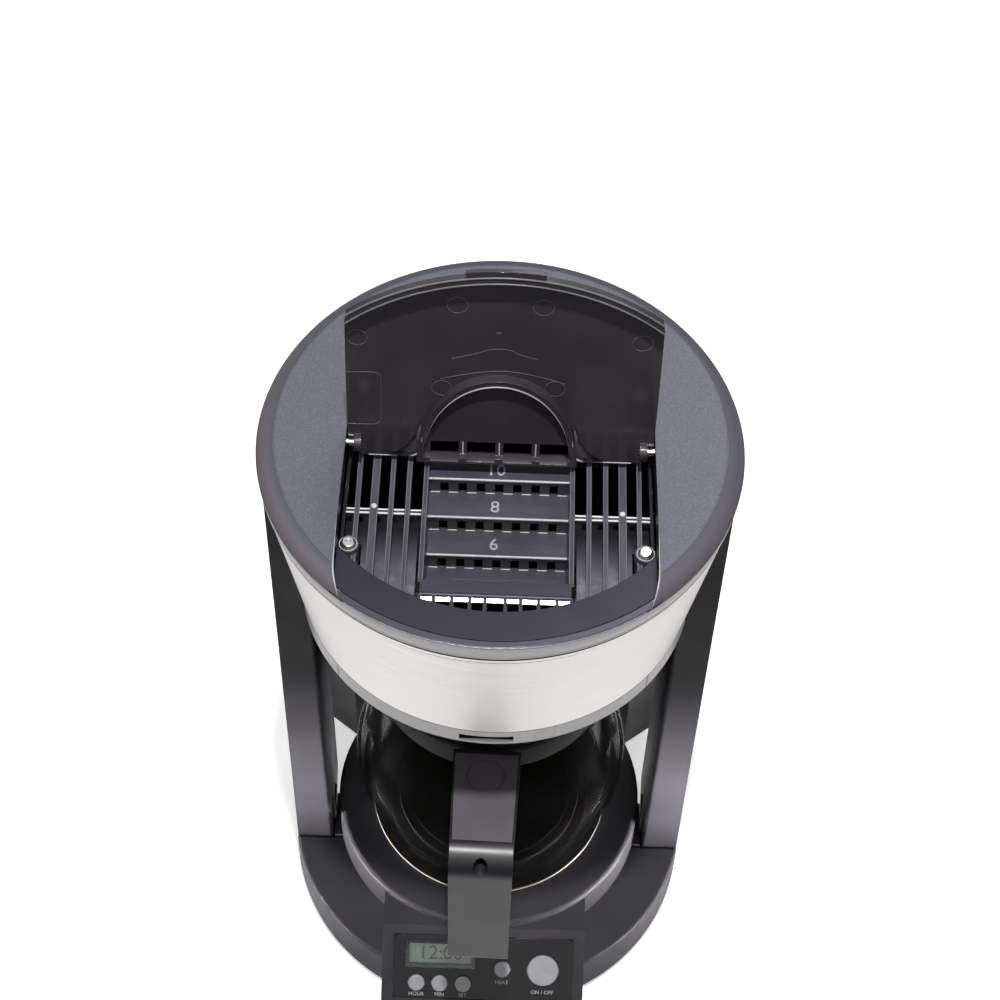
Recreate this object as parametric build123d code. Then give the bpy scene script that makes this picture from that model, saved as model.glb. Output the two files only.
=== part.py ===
"""Drum-topped drip coffee maker with its carafe, lid open.

Millimetres, +Z up, the drum's axis on Z, the controls and the carafe's handle towards -Y,
and the worktop at z = 0.
"""
from build123d import *
import os
from math import atan2, cos, degrees, hypot, pi, radians, sin, sqrt

# Clearances
seat_gap = 0.3            # between pieces that are seated on each other
running_gap = 0.4         # between pieces that slide past each other
pin_gap = 0.05            # radial, between a hinge pin and its bore
groove = 0.6              # shadow line between two trims

# Drum: heights above the worktop and radii
rim_height = 352.0        # widest edge of the top
rim_radius = 105.0
crown_rise = 7.5          # flat top above the widest edge
crease_radius = rim_radius - 8.5  # where the flat top turns into the shoulder
shoulder_bulge = (5.6, 2.7)
cover_skin = 2.5
cover_lip = 0.8
trim_height = 10.0
trim_foot_radius = rim_radius - 1.8
trim_wall = 3.0
band_height = 78.0
band_foot_radius = rim_radius - 14.9
band_sheet = 0.8
lower_ring_height = 10.4
lower_ring_wall = 2.8
lower_ring_taper = 0.6
chassis_wall = 2.5
chassis_floor = 3.0
tank_wall = 2.2
tank_floor = 2.4
tank_depth = 57.0
tank_rim = 1.6

# Opening between the wings of the top
hinge_half = 65.9         # half width at the hinge
waist_half = 66.8         # half width where it is widest
waist_depth = 70.0
corner_half = 62.5        # half width at the front, where the sides curl in
corner_depth = 86.0
opening_rear = 6.2        # rear edge, behind the hinge
cheek_wall = 2.4
cheek_depth = 11.5
shelf_inner_radius = rim_radius - 15.0
shelf_thick = 2.2

# Lid
hinge_place = -4.5        # hinge axis, in front of the drum's axis
hinge_drop = 4.05         # hinge axis below the flat top
lid_hinge_half = hinge_half - 0.6
lid_waist_half = waist_half - 1.7
lid_corner_half = corner_half + 0.1   # the round front edge cuts the sides before here
lid_front_corner = 4.0
hinge_boss_half = 5.0
lid_reach = rim_radius - 2.6  # radius of the front edge when it is shut
lid_tail = 9.0            # plate behind the hinge axis
lid_tail_corner = 8.4
lid_plate = 2.5
lid_lip_inner = rim_radius - 6.0
lid_open_angle = 96.0
lid_seat_gap = 0.8
tab_width = 32.0
tab_reach = rim_radius + 0.3
tab_thick = 2.0
ear_place = 62.6          # outer face of each hinge ear
ear_thick = 3.2
ear_radius = 3.6
pin_radius = 1.6
pin_length = 10.5
dam_shift = -1.5          # its middle, to the left
dam_half = 34.3
dam_rise = 49.5
dam_wall = 3.0
dam_depth = 4.0
vent_width = 12.1
vent_height = 9.4
vent_shift = -0.5
vent_place = 2.7          # middle of the vents, behind the hinge axis
vent_pitch = 15.6
vent_count = 4

# Pouring insert: ledge, ribs and level plates
ledge_inner_radius = rim_radius - 17.7
ledge_outer_radius = rim_radius - 3.5
ledge_thick = 2.2
insert_wall = 1.5
insert_rear = 1.5
rib_depth = 6.0
rib_top_drop = 9.0        # rib tops below the widest edge
rib_places = (60.0, 45.7, 38.6)
rib_thick = 2.2
thick_rib_place = 52.9
thick_rib = 3.5
crossbar_radius = 1.8
crossbar_drop = 2.4       # its middle, below the rib tops
crossbar_place = -31.0
boss_place = (62.3, -51.0)
boss_radius = 4.4
boss_rise = 2.6
full_plate_drop = 6.0     # plate at the full mark, below the widest edge
full_plate_rear = -67.9
full_plate_front = -75.1
full_plate_thick = 1.5
slat_places = (4.2, 10.5, 17.9, 25.4)
slat_thick = 1.6
slat_depth = 3.6
ramp_rear = (-32.0, 16.5)   # place and drop below the widest edge
ramp_front = (-88.0, 10.0)
ramp_thick = 1.3
steps_half = 31.4
steps_wall = 2.2
step_rise = 10.0
step_count = 4
first_step_drop = 12.0
first_step_nose = -10.5
step_tread = 13.0
last_step_front = -66.0
square_count = 7
square_width = 3.6
square_height = 6.8
square_pitch = 7.9

# Base
foot_height = 4.0
foot_radius = 8.0
cover_plate = 2.5
base_top = 53.0
base_radius = 80.0
base_wall = 2.6
base_edge = 2.5
plinth_radius = rim_radius - 1.0
plinth_top = 32.0
web_half = 82.0
web_rear = 5.0
web_top = 34.0
bridge_top = 30.0
bridge_angle = 30.0
warmer_hole = 56.0
warmer_radius = 61.5
warmer_step_radius = 48.0
warmer_step = 0.8
warmer_sheet = 2.0
gasket_thick = 1.0
base_post_place = 50.0
post_radius = 4.0

# Console on the base's front
console_half = 52.0
console_front = -112.0
console_lip = 22.0
console_rear = -80.0
console_crest = 50.0
panel_width = 92.0
panel_height = 33.0
panel_thick = 2.0
panel_margin = 2.2
window_width = 36.0
window_height = 14.0
window_thick = 1.2
window_place = (-22.0, 6.5)
button_travel = 1.2
button_proud = 1.6
button_flange = 1.2
button_stem = 4.0
small_button = 4.2
large_button = 8.0
button_places = {
    "hour_button": (-34.0, -8.5, small_button),
    "minute_button": (-22.0, -8.5, small_button),
    "program_button": (-10.0, -8.5, small_button),
    "warmer_button": (10.0, 0.0, small_button),
    "brew_button": (31.0, 0.0, large_button),
}
board_drop = 9.4
board_thick = 1.6
switch_height = 1.9

# Pillars beside the drum
pillar_radius = rim_radius - 1.4
pillar_front = -20.0
pillar_rear = 40.0
pillar_foot_inner = (pillar_radius - 21.2, pillar_radius - 18.0)
pillar_head_inner = (pillar_radius - 18.2, pillar_radius - 16.2)
pillar_blank = pillar_radius + 6.4  # outer side before it is rounded
pillar_top = rim_height - 15.0
pillar_wall = 2.4
pillar_edge = 2.0
pillar_hollow_top = rim_height - 106.0

# Column behind the carafe
column_radius = rim_radius + 12.0
column_inner_radius = column_radius - 21.0
column_angle = 52.0
column_top = rim_height - 26.0
embrace_top = 312.0
column_wall = 2.5
column_cover = 2.6
column_cover_angle = column_angle - 1.8
cover_screw_heights = (40.0, 240.0)
cover_screw_angle = 30.0

# Water path
tube_radius = 4.5
tube_bore = 3.1
tube_side = 14.0
tube_back = column_radius - 13.0
tube_low = 18.0
tube_bend = 9.0
heater_radius = 5.5
heater_reach = 38.0
heater_end = 42.0
heater_low = 34.0
spigot_radius = 3.0
spigot_length = 6.0
valve_radius = 5.9
valve_groove = 0.6
valve_length = 22.0
valve_place = 70.0
clamp_wall = 1.0
clamp_width = 5.0
spray_radius = 28.0
spray_flange = 34.0
spray_hole = 1.0
spray_hanging = 4.0       # bottom of the spray head below the chassis floor

# Brewing funnel
funnel_flange_half = 65.5
funnel_flange_thick = 2.2
funnel_flange_reach = 54.0
funnel_mouth_radius = 56.0
funnel_floor_radius = 46.0
funnel_wall = 2.0
funnel_bottom = 204.0
funnel_front_angle = 50.0
finger_slot = (24.0, 4.5)
finger_slot_side = -1.9
rail_thick = 2.5
rail_lip = 5.0
rail_front = -52.0
rail_rear = 50.0
stem_radius = 3.6
stem_length = 10.6
stopper_radius = 7.5
stopper_thick = 2.0
seal_thick = 1.1
drip_travel = 3.0
spring_radius = 5.0
spring_wire = 0.45
spring_turns = 5
cage_height = 16.0
cage_radius = 9.5

# Carafe
carafe_turn = -1.25       # it stands slightly turned on its plate
glass_wall = 2.2
glass_foot_radius = 44.0
glass_belly_radius = 69.0
glass_belly_height = 104.0
glass_neck_radius = 52.5
glass_neck_height = 172.0
glass_rim_height = 186.0
collar_wall = 4.7
collar_low = glass_rim_height - 11.0
collar_top = glass_rim_height + 4.0
carafe_lid_radius = 55.5
carafe_lid_plate = 3.0
carafe_lid_plug = 9.0
carafe_grip = (8.0, 48.0, 2.6)
carafe_hub = 12.0
handle_top = glass_rim_height + 9.0
handle_thick = 11.0
handle_root_width = 31.8
handle_front_width = 29.4
handle_front = -121.0
handle_grip_thick = 13.0
handle_bend = 12.0
handle_foot = glass_belly_height - 12.0
inlay_thick = 1.2
inlay_margin = 0.9
ring_place = -73.3        # middle of the ring cut in the inlay
ring_radius = 9.0

# Fasteners and bushing
screw_head_radius = 3.0
screw_head = 1.8
screw_shank_radius = 1.3
screw_hole_radius = 1.6
bushing_radius = 8.0
bushing_bore = 3.6
bushing_height = 20.0
bushing_proud = 1.0

# Worked out from the sizes above
crown_height = rim_height + crown_rise
cover_low = rim_height - cover_lip
trim_top = cover_low - seat_gap
trim_low = trim_top - trim_height
band_top = trim_low - groove
band_low = band_top - band_height
band_top_radius = trim_foot_radius - 0.1
ring_top = band_low - groove
drum_bottom = ring_top - lower_ring_height
floor_low = ring_top + seat_gap
floor_high = floor_low + chassis_floor
hinge_height = crown_height - hinge_drop
ledge_top = rim_height + 0.4
ledge_low = ledge_top - ledge_thick
rib_top = rim_height - rib_top_drop
rib_low = rib_top - rib_depth
base_low = foot_height + cover_plate
tank_top = trim_low + 5.0
tank_low = tank_top - tank_depth
warmer_low = base_top + gasket_thick
warmer_top = warmer_low + warmer_sheet
funnel_flange_top = floor_low - spray_hanging - 0.7
funnel_flange_low = funnel_flange_top - funnel_flange_thick
funnel_floor_top = funnel_bottom + funnel_wall
BOTTOM = (Align.CENTER, Align.CENTER, Align.MIN)


def turned(*corners):
    """Solid of revolution about Z from corners given as radius and height."""
    outline = Polyline(*[(radius, 0, height) for radius, height in corners], close=True)
    return revolve(make_face(outline), Axis.Z, 360)


def disc(radius, low, high):
    return Pos(0, 0, low) * Cylinder(radius, high - low, align=BOTTOM)


def tube(outer, inner, low, high):
    return disc(outer, low, high) - disc(inner, low - 1, high + 1)


def block(x0, x1, y0, y1, z0, z1):
    return Pos((x0 + x1) / 2, (y0 + y1) / 2, (z0 + z1) / 2) * Box(x1 - x0, y1 - y0, z1 - z0)


def both_sides(shape):
    """The shape and its mirror image across the middle."""
    return shape + mirror(shape, Plane.YZ)


def prism(face, low, high):
    return Pos(0, 0, low) * extrude(face, high - low, dir=(0, 0, 1))


def wedge(middle, half, radius, low, high):
    """Slice of a pie about Z, centred on an azimuth in degrees from +X."""
    reach = radius * 1.4
    angles = [middle + half * share for share in (-1, -0.5, 0, 0.5, 1)]
    corners = [(reach * cos(radians(a)), reach * sin(radians(a))) for a in angles]
    return prism(make_face(Polyline((0, 0), *corners, close=True)), low, high)


def arc_strip(outer, inner, middle, half, low, high):
    return tube(outer, inner, low, high) & wedge(middle, half, outer, low - 2, high + 2)


def along(axis_turn, place, radius, length):
    """Cylinder that starts at a place and runs along Z turned by the given angles."""
    return Pos(*place) * Rot(*axis_turn) * Cylinder(radius, length, align=BOTTOM)


def bent_tube(points, bend, radius, bore):
    """Hose along straight runs joined by arcs."""
    path = FilletPolyline(*points, radius=bend)
    start = Plane(origin=path @ 0, z_dir=path % 0)
    hose = sweep(start * Circle(radius), path=path)
    if bore:
        hose -= sweep(start * Circle(bore), path=path)
    return hose


def screw(length):
    """Pan head screw with a cross recess, its seat at the origin and its shank downwards."""
    head = Cylinder(screw_head_radius, screw_head, align=BOTTOM)
    head = fillet(head.edges().group_by(Axis.Z)[-1], screw_head * 0.45)
    slot = Box(screw_head_radius * 1.1, 0.7, screw_head)
    recess = Pos(0, 0, screw_head) * (slot + Rot(0, 0, 90) * slot)
    shank = Pos(0, 0, -length) * Cylinder(screw_shank_radius, length, align=BOTTOM)
    return head - recess + shank


def band_radius(height):
    """Outer radius of the steel band at a height."""
    slope = (band_top_radius - band_foot_radius) / band_height
    return band_foot_radius + slope * (height - band_low)


def drum_space(gap):
    """Solid that the tapering drum takes up, grown by a gap."""
    top = trim_low + 4
    return turned(
        (0, drum_bottom - gap),
        (band_foot_radius + gap, drum_bottom - gap),
        (band_foot_radius + gap, band_low),
        (band_radius(top) + gap, top),
        (0, top),
    )


def crown(drop, low):
    """Solid under the top's outer skin, lowered by a drop, down to a height."""
    edge = rim_radius - drop
    top = crown_height - drop
    crease = (crease_radius - 0.4 * drop, 0, top)
    bulge = (
        crease_radius + shoulder_bulge[0] - 0.7 * drop,
        0,
        crown_height - shoulder_bulge[1] - 0.7 * drop,
    )
    rim = (edge, 0, rim_height)
    edges = [
        Line((0, 0, low), (edge, 0, low)),
        Line((edge, 0, low), rim),
        ThreePointArc(rim, bulge, crease),
        Line(crease, (0, 0, top)),
        Line((0, 0, top), (0, 0, low)),
    ]
    return revolve(make_face(edges), Axis.Z, 360)


def opening(shift, rear):
    """Plan of the opening between the wings, its sides moved out by a shift."""
    return bellied_plan(hinge_half + shift, waist_half + shift, corner_half + shift, rear)


def bellied_plan(hinge, waist, corner, rear):
    """Plan with sides given by their half widths at the hinge, the waist and the front."""
    far = -rim_radius - 15
    run = corner_depth - waist_depth
    curl = run * run / 2 / (waist - corner) + (waist - corner) / 2  # radius of the curl in front
    curl_x = waist - curl + (curl * curl - run * run / 4) ** 0.5
    curl_y = -waist_depth - run / 2
    side_x = (hinge + waist) / 2 + 0.15
    side_y = (hinge_place - waist_depth) / 2
    edges = [Line((-hinge, rear), (hinge, rear)), Line((corner, far), (-corner, far))]
    for side in (-1, 1):
        at_hinge = (side * hinge, hinge_place)
        at_waist = (side * waist, -waist_depth)
        at_corner = (side * corner, -corner_depth)
        edges += [
            Line((side * hinge, rear), at_hinge),
            ThreePointArc(at_hinge, (side * side_x, side_y), at_waist),
            ThreePointArc(at_waist, (side * curl_x, curl_y), at_corner),
            Line(at_corner, (side * corner, far)),
        ]
    return make_face(edges)


def top_cover():
    """Two wings joined behind the hinge, with a shelf in front for the pouring insert."""
    tongue_outer = rim_radius - trim_wall - 0.1
    tongue_low = tank_top + tank_rim + seat_gap + 0.6
    shell = crown(0, cover_low) - crown(cover_skin, cover_low - 1)
    tongue = tube(tongue_outer, tongue_outer - 2, tongue_low, crown_height)
    shell += tongue & crown(0, tongue_low)
    shell -= prism(opening(0, opening_rear), ledge_top, crown_height + 5)
    shell -= prism(opening(0, opening_rear), tongue_low - 5, ledge_low) & disc(
        tongue_outer - 2, tongue_low - 6, ledge_low + 1
    )
    cheek = opening(cheek_wall, opening_rear + cheek_wall)
    cheek = prism(cheek, ledge_top - cheek_depth + 6, crown_height)
    cheek -= prism(opening(0, opening_rear), tongue_low - 10, crown_height + 5)
    shell += cheek & crown(0.5, tongue_low - 10) & disc(tongue_outer, tongue_low, crown_height)
    ledge_seat = ledge_outer_radius + seat_gap
    front = turned(
        (rim_radius, cover_low),
        (rim_radius, rim_height),
        (rim_radius - 0.4, ledge_top),
        (ledge_seat, ledge_top),
        (ledge_seat, ledge_low),
        (shelf_inner_radius, ledge_low),
        (shelf_inner_radius, ledge_low - shelf_thick),
        (tongue_outer, ledge_low - shelf_thick),
        (tongue_outer, cover_low),
    )
    shell -= prism(opening(0, -30), ledge_low, ledge_top + 1)
    shell += front & prism(opening(cheek_wall, -40), tongue_low - 10, crown_height)
    for side in (-1, 1):
        shell += hinge_boss(side)
        shell += screw_tab(side)
        start = hinge_half - 1
        place = (side * start, hinge_place, hinge_height)
        shell -= along((0, 90 * side, 0), place, pin_radius + pin_gap, pin_end() + seat_gap - start)
        shell -= Pos(side * boss_place[0], boss_place[1], rib_low - 5) * Cylinder(
            screw_shank_radius + pin_gap, rib_depth + 8, align=BOTTOM
        )
    return shell


def hinge_boss(side):
    """Thick part of the wing's cheek that holds a hinge pin."""
    inner = side * hinge_half
    outer = side * (hinge_half + 5.5)
    front = hinge_place - hinge_boss_half
    rear = hinge_place + hinge_boss_half
    return block(min(inner, outer), max(inner, outer), front, rear, hinge_height - 4.5, crown_height - 1)


def screw_tab(side):
    """Tab under the insert's boss that takes its screw."""
    x, y = boss_place
    tab_top = rib_top - 3
    wall = side * (waist_half + 0.1)
    outer = side * (waist_half + cheek_wall - 0.6)
    inner = side * (x - boss_radius)
    tab = block(min(inner, outer), max(inner, outer), y - 5.5, y + 5.5, tab_top - 2.5, tab_top)
    web = block(min(wall, outer), max(wall, outer), y - 5.5, y + 5.5, tab_top - 2.5, ledge_top)
    return tab + web


def lid_plan():
    """Plan of the lid as a tall slab: the opening drawn in all round, with a rounded tail."""
    low = ledge_top - 20
    high = crown_height + 20
    tail_end = hinge_place + lid_tail
    plan = bellied_plan(lid_hinge_half, lid_waist_half, lid_corner_half, tail_end)
    slab = prism(plan, low, high) & disc(lid_reach, low, high)
    uprights = slab.edges().filter_by(Axis.Z)
    tail = [edge for edge in uprights if edge.center().Y > tail_end - 1]
    slab = fillet(tail, lid_tail_corner)
    uprights = slab.edges().filter_by(Axis.Z)
    front = uprights.group_by(Axis.Y)[0]
    return fillet(front, lid_front_corner)


def lid_shut():
    """Lid in its shut place: plate, front lip, finger tab, hinge ears, dam and vents."""
    plan = lid_plan()
    plate_low = crown_height - lid_plate
    lip_low = ledge_top + lid_seat_gap
    far = rim_radius + 10
    under = crown(0, ledge_top - 1)
    lid = under & plan & block(-far, far, -far, far, plate_low, crown_height + 5)
    lip = under & plan & tube(far, lid_lip_inner, lip_low, crown_height + 5)
    lid += lip & block(-far, far, -far, -corner_depth + 26, lip_low, crown_height + 5)
    tab = tube(tab_reach, lid_lip_inner + 0.6, lip_low + 0.2, lip_low + 0.2 + tab_thick)
    lid += tab & block(-tab_width / 2, tab_width / 2, -far, 6 - corner_depth, lip_low, crown_height)
    dam = Pos(0, 0, plate_low - dam_depth) * extrude(dam_outline(0), dam_depth + 0.5)
    well = Pos(0, 0, plate_low - dam_depth - 1) * extrude(dam_outline(dam_wall), dam_depth - 0.2)
    lid += dam - well
    for index in range(vent_count):
        x = vent_shift + (index - (vent_count - 1) / 2) * vent_pitch
        y = hinge_place + vent_place
        vent = block(
            x - vent_width / 2, x + vent_width / 2,
            y - vent_height / 2, y + vent_height / 2,
            plate_low - dam_depth - 2, crown_height + 1,
        )
        lid -= vent
    start = ear_place - ear_thick
    ear = along((0, 90, 0), (start, hinge_place, hinge_height), ear_radius, ear_thick)
    ear += block(
        start, ear_place,
        hinge_place - ear_radius, hinge_place + ear_radius,
        hinge_height, plate_low + 0.5,
    )
    lid += both_sides(ear)
    bore = along((0, 90, 0), (start - 1, hinge_place, hinge_height), pin_radius + pin_gap, ear_thick + 2)
    room = along((0, 90, 0), (ear_place, hinge_place, hinge_height), pin_radius + 0.5, 10)
    return lid - both_sides(bore) - both_sides(room)


def dam_outline(inset):
    """Arch of the splash dam inside the lid, its feet at the lid's tail."""
    half = dam_half - inset
    reach = dam_rise - 2 * inset
    rear = hinge_place + lid_tail - 0.5 - inset

    def spot(angle):
        return (dam_shift + half * cos(radians(angle)), rear - reach * sin(radians(angle)))

    edges = [
        ThreePointArc(spot(0), spot(22), spot(45)),
        ThreePointArc(spot(45), spot(90), spot(135)),
        ThreePointArc(spot(135), spot(158), spot(180)),
        Line(spot(180), spot(0)),
    ]
    return make_face(edges)


def top_lid():
    """The lid swung open past upright."""
    return lid_shut().rotate(Axis((0, hinge_place, hinge_height), (1, 0, 0)), -lid_open_angle)


def pin_end():
    """Distance of a hinge pin's outer end from the middle."""
    return ear_place - ear_thick + seat_gap + pin_length


def lid_pins():
    start = pin_end() - pin_length
    pin = along((0, 90, 0), (start, hinge_place, hinge_height), pin_radius, pin_length)
    return both_sides(pin)


def insert_plan(shift):
    return opening(shift - running_gap, insert_rear) & Circle(ledge_inner_radius + insert_wall)


def pour_insert():
    """Ledge, ribs, crossbars, ramps and the slatted plate at the full mark."""
    ledge = prism(opening(-running_gap, -30), ledge_low, ledge_top)
    insert = ledge & tube(ledge_outer_radius, ledge_inner_radius, ledge_low, ledge_top)
    wall = prism(opening(-running_gap, -30), rib_low, ledge_top)
    insert += wall & tube(ledge_inner_radius + insert_wall, ledge_inner_radius, rib_low, ledge_top)
    rail = prism(insert_plan(0), rib_low, rib_top)
    rail -= prism(insert_plan(-insert_wall), rib_low - 1, rib_top + 1)
    rail_rear = block(
        -hinge_half + 2, hinge_half - 2,
        insert_rear - insert_wall, insert_rear,
        rib_low, rib_top,
    )
    inside = prism(insert_plan(-0.4), rib_low - 12, ledge_top)
    insert += rail + (rail_rear & inside)
    ribs = [(place, rib_thick) for place in rib_places] + [(thick_rib_place, thick_rib)]
    for place, thick in ribs:
        for side in (-1, 1):
            x = side * place
            rib = block(x - thick / 2, x + thick / 2, -ledge_inner_radius - 1, insert_rear, rib_low, rib_top)
            insert += rib & inside
    bar_start = steps_half + steps_wall / 2 + seat_gap
    bar_length = waist_half - 1.5 - bar_start
    place = (bar_start, crossbar_place, rib_top - crossbar_drop)
    bar = along((0, 90, 0), place, crossbar_radius, bar_length)
    insert += both_sides(bar)
    insert += both_sides(ramp() & inside)
    insert += full_plate() & prism(insert_plan(0), rib_low, ledge_top)
    x, y = boss_place
    tab_top = rib_top - 3
    notch = block(x - 5.1, waist_half + 5, y - 6.1, y + 6.1, rib_low - 15, tab_top)
    insert -= both_sides(notch)
    boss = Pos(x, y, tab_top) * Cylinder(boss_radius, 3 + boss_rise, align=BOTTOM)
    insert += both_sides(boss & prism(insert_plan(0), rib_low, ledge_top))
    hole = Pos(x, y, tab_top - 1) * Cylinder(screw_hole_radius, 10, align=BOTTOM)
    return insert - both_sides(hole)


def ramp():
    """Sloping floor under the front ribs on the right."""
    rear_y, rear_drop = ramp_rear
    front_y, front_drop = ramp_front
    outline = Polyline(
        (0, rear_y, rim_height - rear_drop),
        (0, front_y, rim_height - front_drop),
        (0, front_y, rim_height - front_drop - ramp_thick),
        (0, rear_y, rim_height - rear_drop - ramp_thick),
        close=True,
    )
    start = steps_half + steps_wall / 2 + 1.2
    plate = extrude(make_face(outline), waist_half - start, dir=(1, 0, 0))
    return Pos(start, 0, 0) * plate


def full_plate():
    """Plate at the full mark, with the slats that run from it to the ledge."""
    top = rim_height - full_plate_drop
    plate = block(-steps_half, steps_half, full_plate_front, full_plate_rear, top - full_plate_thick, top)
    nose = along((0, 90, 0), (-steps_half, full_plate_front, top - 0.6), 1.0, 2 * steps_half)
    lip = block(-steps_half, steps_half, full_plate_front - 0.4, full_plate_front + 0.8, top - 5.5, top - 0.6)
    plate += nose + lip
    ends = [-steps_half, steps_half]
    middles = [side * place for place in slat_places for side in (-1, 1)]
    for x in middles + ends:
        plate += block(
            x - slat_thick / 2, x + slat_thick / 2,
            -ledge_inner_radius - 1, full_plate_front,
            top - slat_depth, top,
        )
    return plate


def level_steps():
    """Staircase whose treads mark the water level, with square holes in its risers."""
    half = steps_half + steps_wall / 2
    rear = insert_rear - insert_wall - seat_gap
    top = rim_height - first_step_drop
    bottom = top - (step_count - 1) * step_rise
    steps = None
    nose = first_step_nose
    back = rear
    for index in range(step_count):
        height = top - index * step_rise
        front = nose if index < step_count - 1 else last_step_front
        tread = block(-half, half, front, back, height - 1.2, height)
        steps = tread if steps is None else steps + tread
        if index < step_count - 1:
            steps += riser(half, front, height)
        back = front + 1.2
        nose -= step_tread
    for side in (-1, 1):
        x = side * steps_half
        wall = block(x - steps_wall / 2, x + steps_wall / 2, last_step_front, rear, bottom - 1.2, rib_top)
        steps += wall
    front_wall = block(-half, half, last_step_front - 1.2, last_step_front, bottom - 1.2, rib_top)
    return steps + front_wall


def riser(half, front, height):
    """Upright below a tread, with its row of square holes."""
    low = height - step_rise
    wall = block(-half, half, front, front + 1.2, low - 1.2, height)
    for index in range(square_count):
        x = (index - (square_count - 1) / 2) * square_pitch
        wall -= block(
            x - square_width / 2, x + square_width / 2,
            front - 1, front + 3,
            low, low + square_height,
        )
    return wall


def insert_screws():
    x, y = boss_place
    one = Pos(x, y, rib_top + boss_rise) * screw(7.5)
    return both_sides(one)


def upper_trim_ring():
    inner = rim_radius - trim_wall + 0.2
    return turned(
        (rim_radius - 0.2, trim_top),
        (rim_radius - 0.5, trim_top - 4),
        (trim_foot_radius + 0.5, trim_low + 2.6),
        (trim_foot_radius - 0.1, trim_low + 2.2),
        (trim_foot_radius - 0.1, trim_low + 1.7),
        (trim_foot_radius + 0.3, trim_low + 1.3),
        (trim_foot_radius, trim_low),
        (inner - 2, trim_low),
        (inner - 2, trim_low + 6.4),
        (inner, trim_low + 6.4),
        (inner, trim_top),
    )


def steel_band():
    """Brushed sheet round the drum, open behind where the column stands."""
    sheet = turned(
        (band_foot_radius, band_low),
        (band_top_radius, band_top),
        (band_top_radius - band_sheet, band_top),
        (band_foot_radius - band_sheet, band_low),
    )
    return sheet - wedge(90, column_angle - 6, rim_radius, band_low - 1, band_top + 1)


def chassis_inner(height):
    """Radius of the drum's inside at a height."""
    low = band_radius(floor_high) - band_sheet - seat_gap - chassis_wall
    top = rim_radius - trim_wall + 0.2 - 2 - 0.4 - chassis_wall
    return low + (top - low) * (height - floor_high) / (trim_low - floor_high)


def drum_chassis():
    """Moulded inner drum with its floor, which carries the tank, rails and spray head."""
    skin = band_sheet + seat_gap
    top_outer = rim_radius - trim_wall + 0.2 - 2 - 0.4
    shell = turned(
        (0, floor_low),
        (band_radius(floor_low) - skin, floor_low),
        (band_radius(trim_low - seat_gap) - skin, trim_low - seat_gap),
        (top_outer, trim_low - seat_gap),
        (top_outer, tank_top),
        (chassis_inner(trim_low), tank_top),
        (chassis_inner(trim_low), trim_low),
        (chassis_inner(floor_high), floor_high),
        (0, floor_high),
    )
    shell -= disc(spray_radius + 1.5, floor_low - 1, floor_high + 1)
    window = block(
        -tube_side - 10, tube_side + 10,
        column_inner_radius - 30, column_inner_radius + 10,
        floor_high, hot_hose_height() + tube_radius + 3,
    )
    return shell - window


def water_tank():
    """Open tank that fills the upper drum, with an outlet in its floor."""
    gap = 0.4
    low_radius = chassis_inner(tank_low) - gap
    top_radius = chassis_inner(trim_low) - gap
    flange = chassis_inner(trim_low) + chassis_wall - 0.2
    tank = turned(
        (0, tank_low),
        (low_radius, tank_low),
        (top_radius, trim_low),
        (top_radius, tank_top),
        (flange, tank_top),
        (flange, tank_top + tank_rim),
        (top_radius - tank_wall, tank_top + tank_rim),
        (top_radius - tank_wall, trim_low),
        (low_radius - tank_wall, tank_low + tank_floor),
        (0, tank_low + tank_floor),
    )
    tank += Pos(-tube_side, outlet_place(), tank_low - spigot_length) * Cylinder(
        spigot_radius, spigot_length, align=BOTTOM
    )
    bore = Pos(-tube_side, outlet_place(), tank_low - spigot_length - 1) * Cylinder(
        spigot_radius - 1, spigot_length + tank_floor + 2, align=BOTTOM
    )
    return tank - bore


def outlet_place():
    """Distance of the tank's outlet behind the axis."""
    return tube_back - 34


def lower_trim_ring():
    """Bright ring under the drum, open in front for the funnel."""
    ring = lower_ring_profile()
    return ring - wedge(-90, funnel_front_angle + 0.4, band_foot_radius, drum_bottom - 1, ring_top + 1)


def lower_ring_profile():
    outer = band_foot_radius
    return turned(
        (outer - lower_ring_taper, drum_bottom),
        (outer, drum_bottom + 1.5),
        (outer, ring_top),
        (outer - lower_ring_wall, ring_top),
        (outer - lower_ring_wall, drum_bottom),
    )


def spray_head():
    """Perforated dish under the tank with an elbow for the riser hose."""
    low = floor_low - spray_hanging
    head = turned(
        (0, low),
        (spray_radius - 2, low),
        (spray_radius, low + 2),
        (spray_radius, floor_high),
        (spray_flange, floor_high),
        (spray_flange, floor_high + 2),
        (0, floor_high + 2),
    )
    head -= disc(spray_radius - 2, low + 1.6, floor_high)
    hose_height = hot_hose_height()
    head += disc(5, floor_high, hose_height + 4.5)
    head += along((-90, 0, 0), (0, 0, hose_height), spigot_radius, 12 + spigot_length)
    head -= along((-90, 0, 0), (0, 0, hose_height), spigot_radius - 1, 13 + spigot_length)
    head -= Pos(0, 0, floor_high - 1) * Cylinder(spigot_radius - 1, 12, align=BOTTOM)
    for ring_radius, count in ((8, 6), (16, 10), (22, 14)):
        for hole in PolarLocations(ring_radius, count):
            head -= Pos(0, 0, low + 1) * hole * Cylinder(spray_hole, 6)
    return head


def hot_hose():
    """Riser from the heater up the column to the spray head."""
    height = hot_hose_height()
    points = [
        (tube_side, heater_end, heater_low - 0.5),
        (tube_side, heater_end, tube_low),
        (tube_side, tube_back, tube_low),
        (tube_side, tube_back, height),
        (tube_side, tube_back - 32, height),
        (0, tube_back - 62, height),
        (0, 12.5, height),
    ]
    return bent_tube(points, tube_bend, tube_radius, tube_bore)


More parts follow.
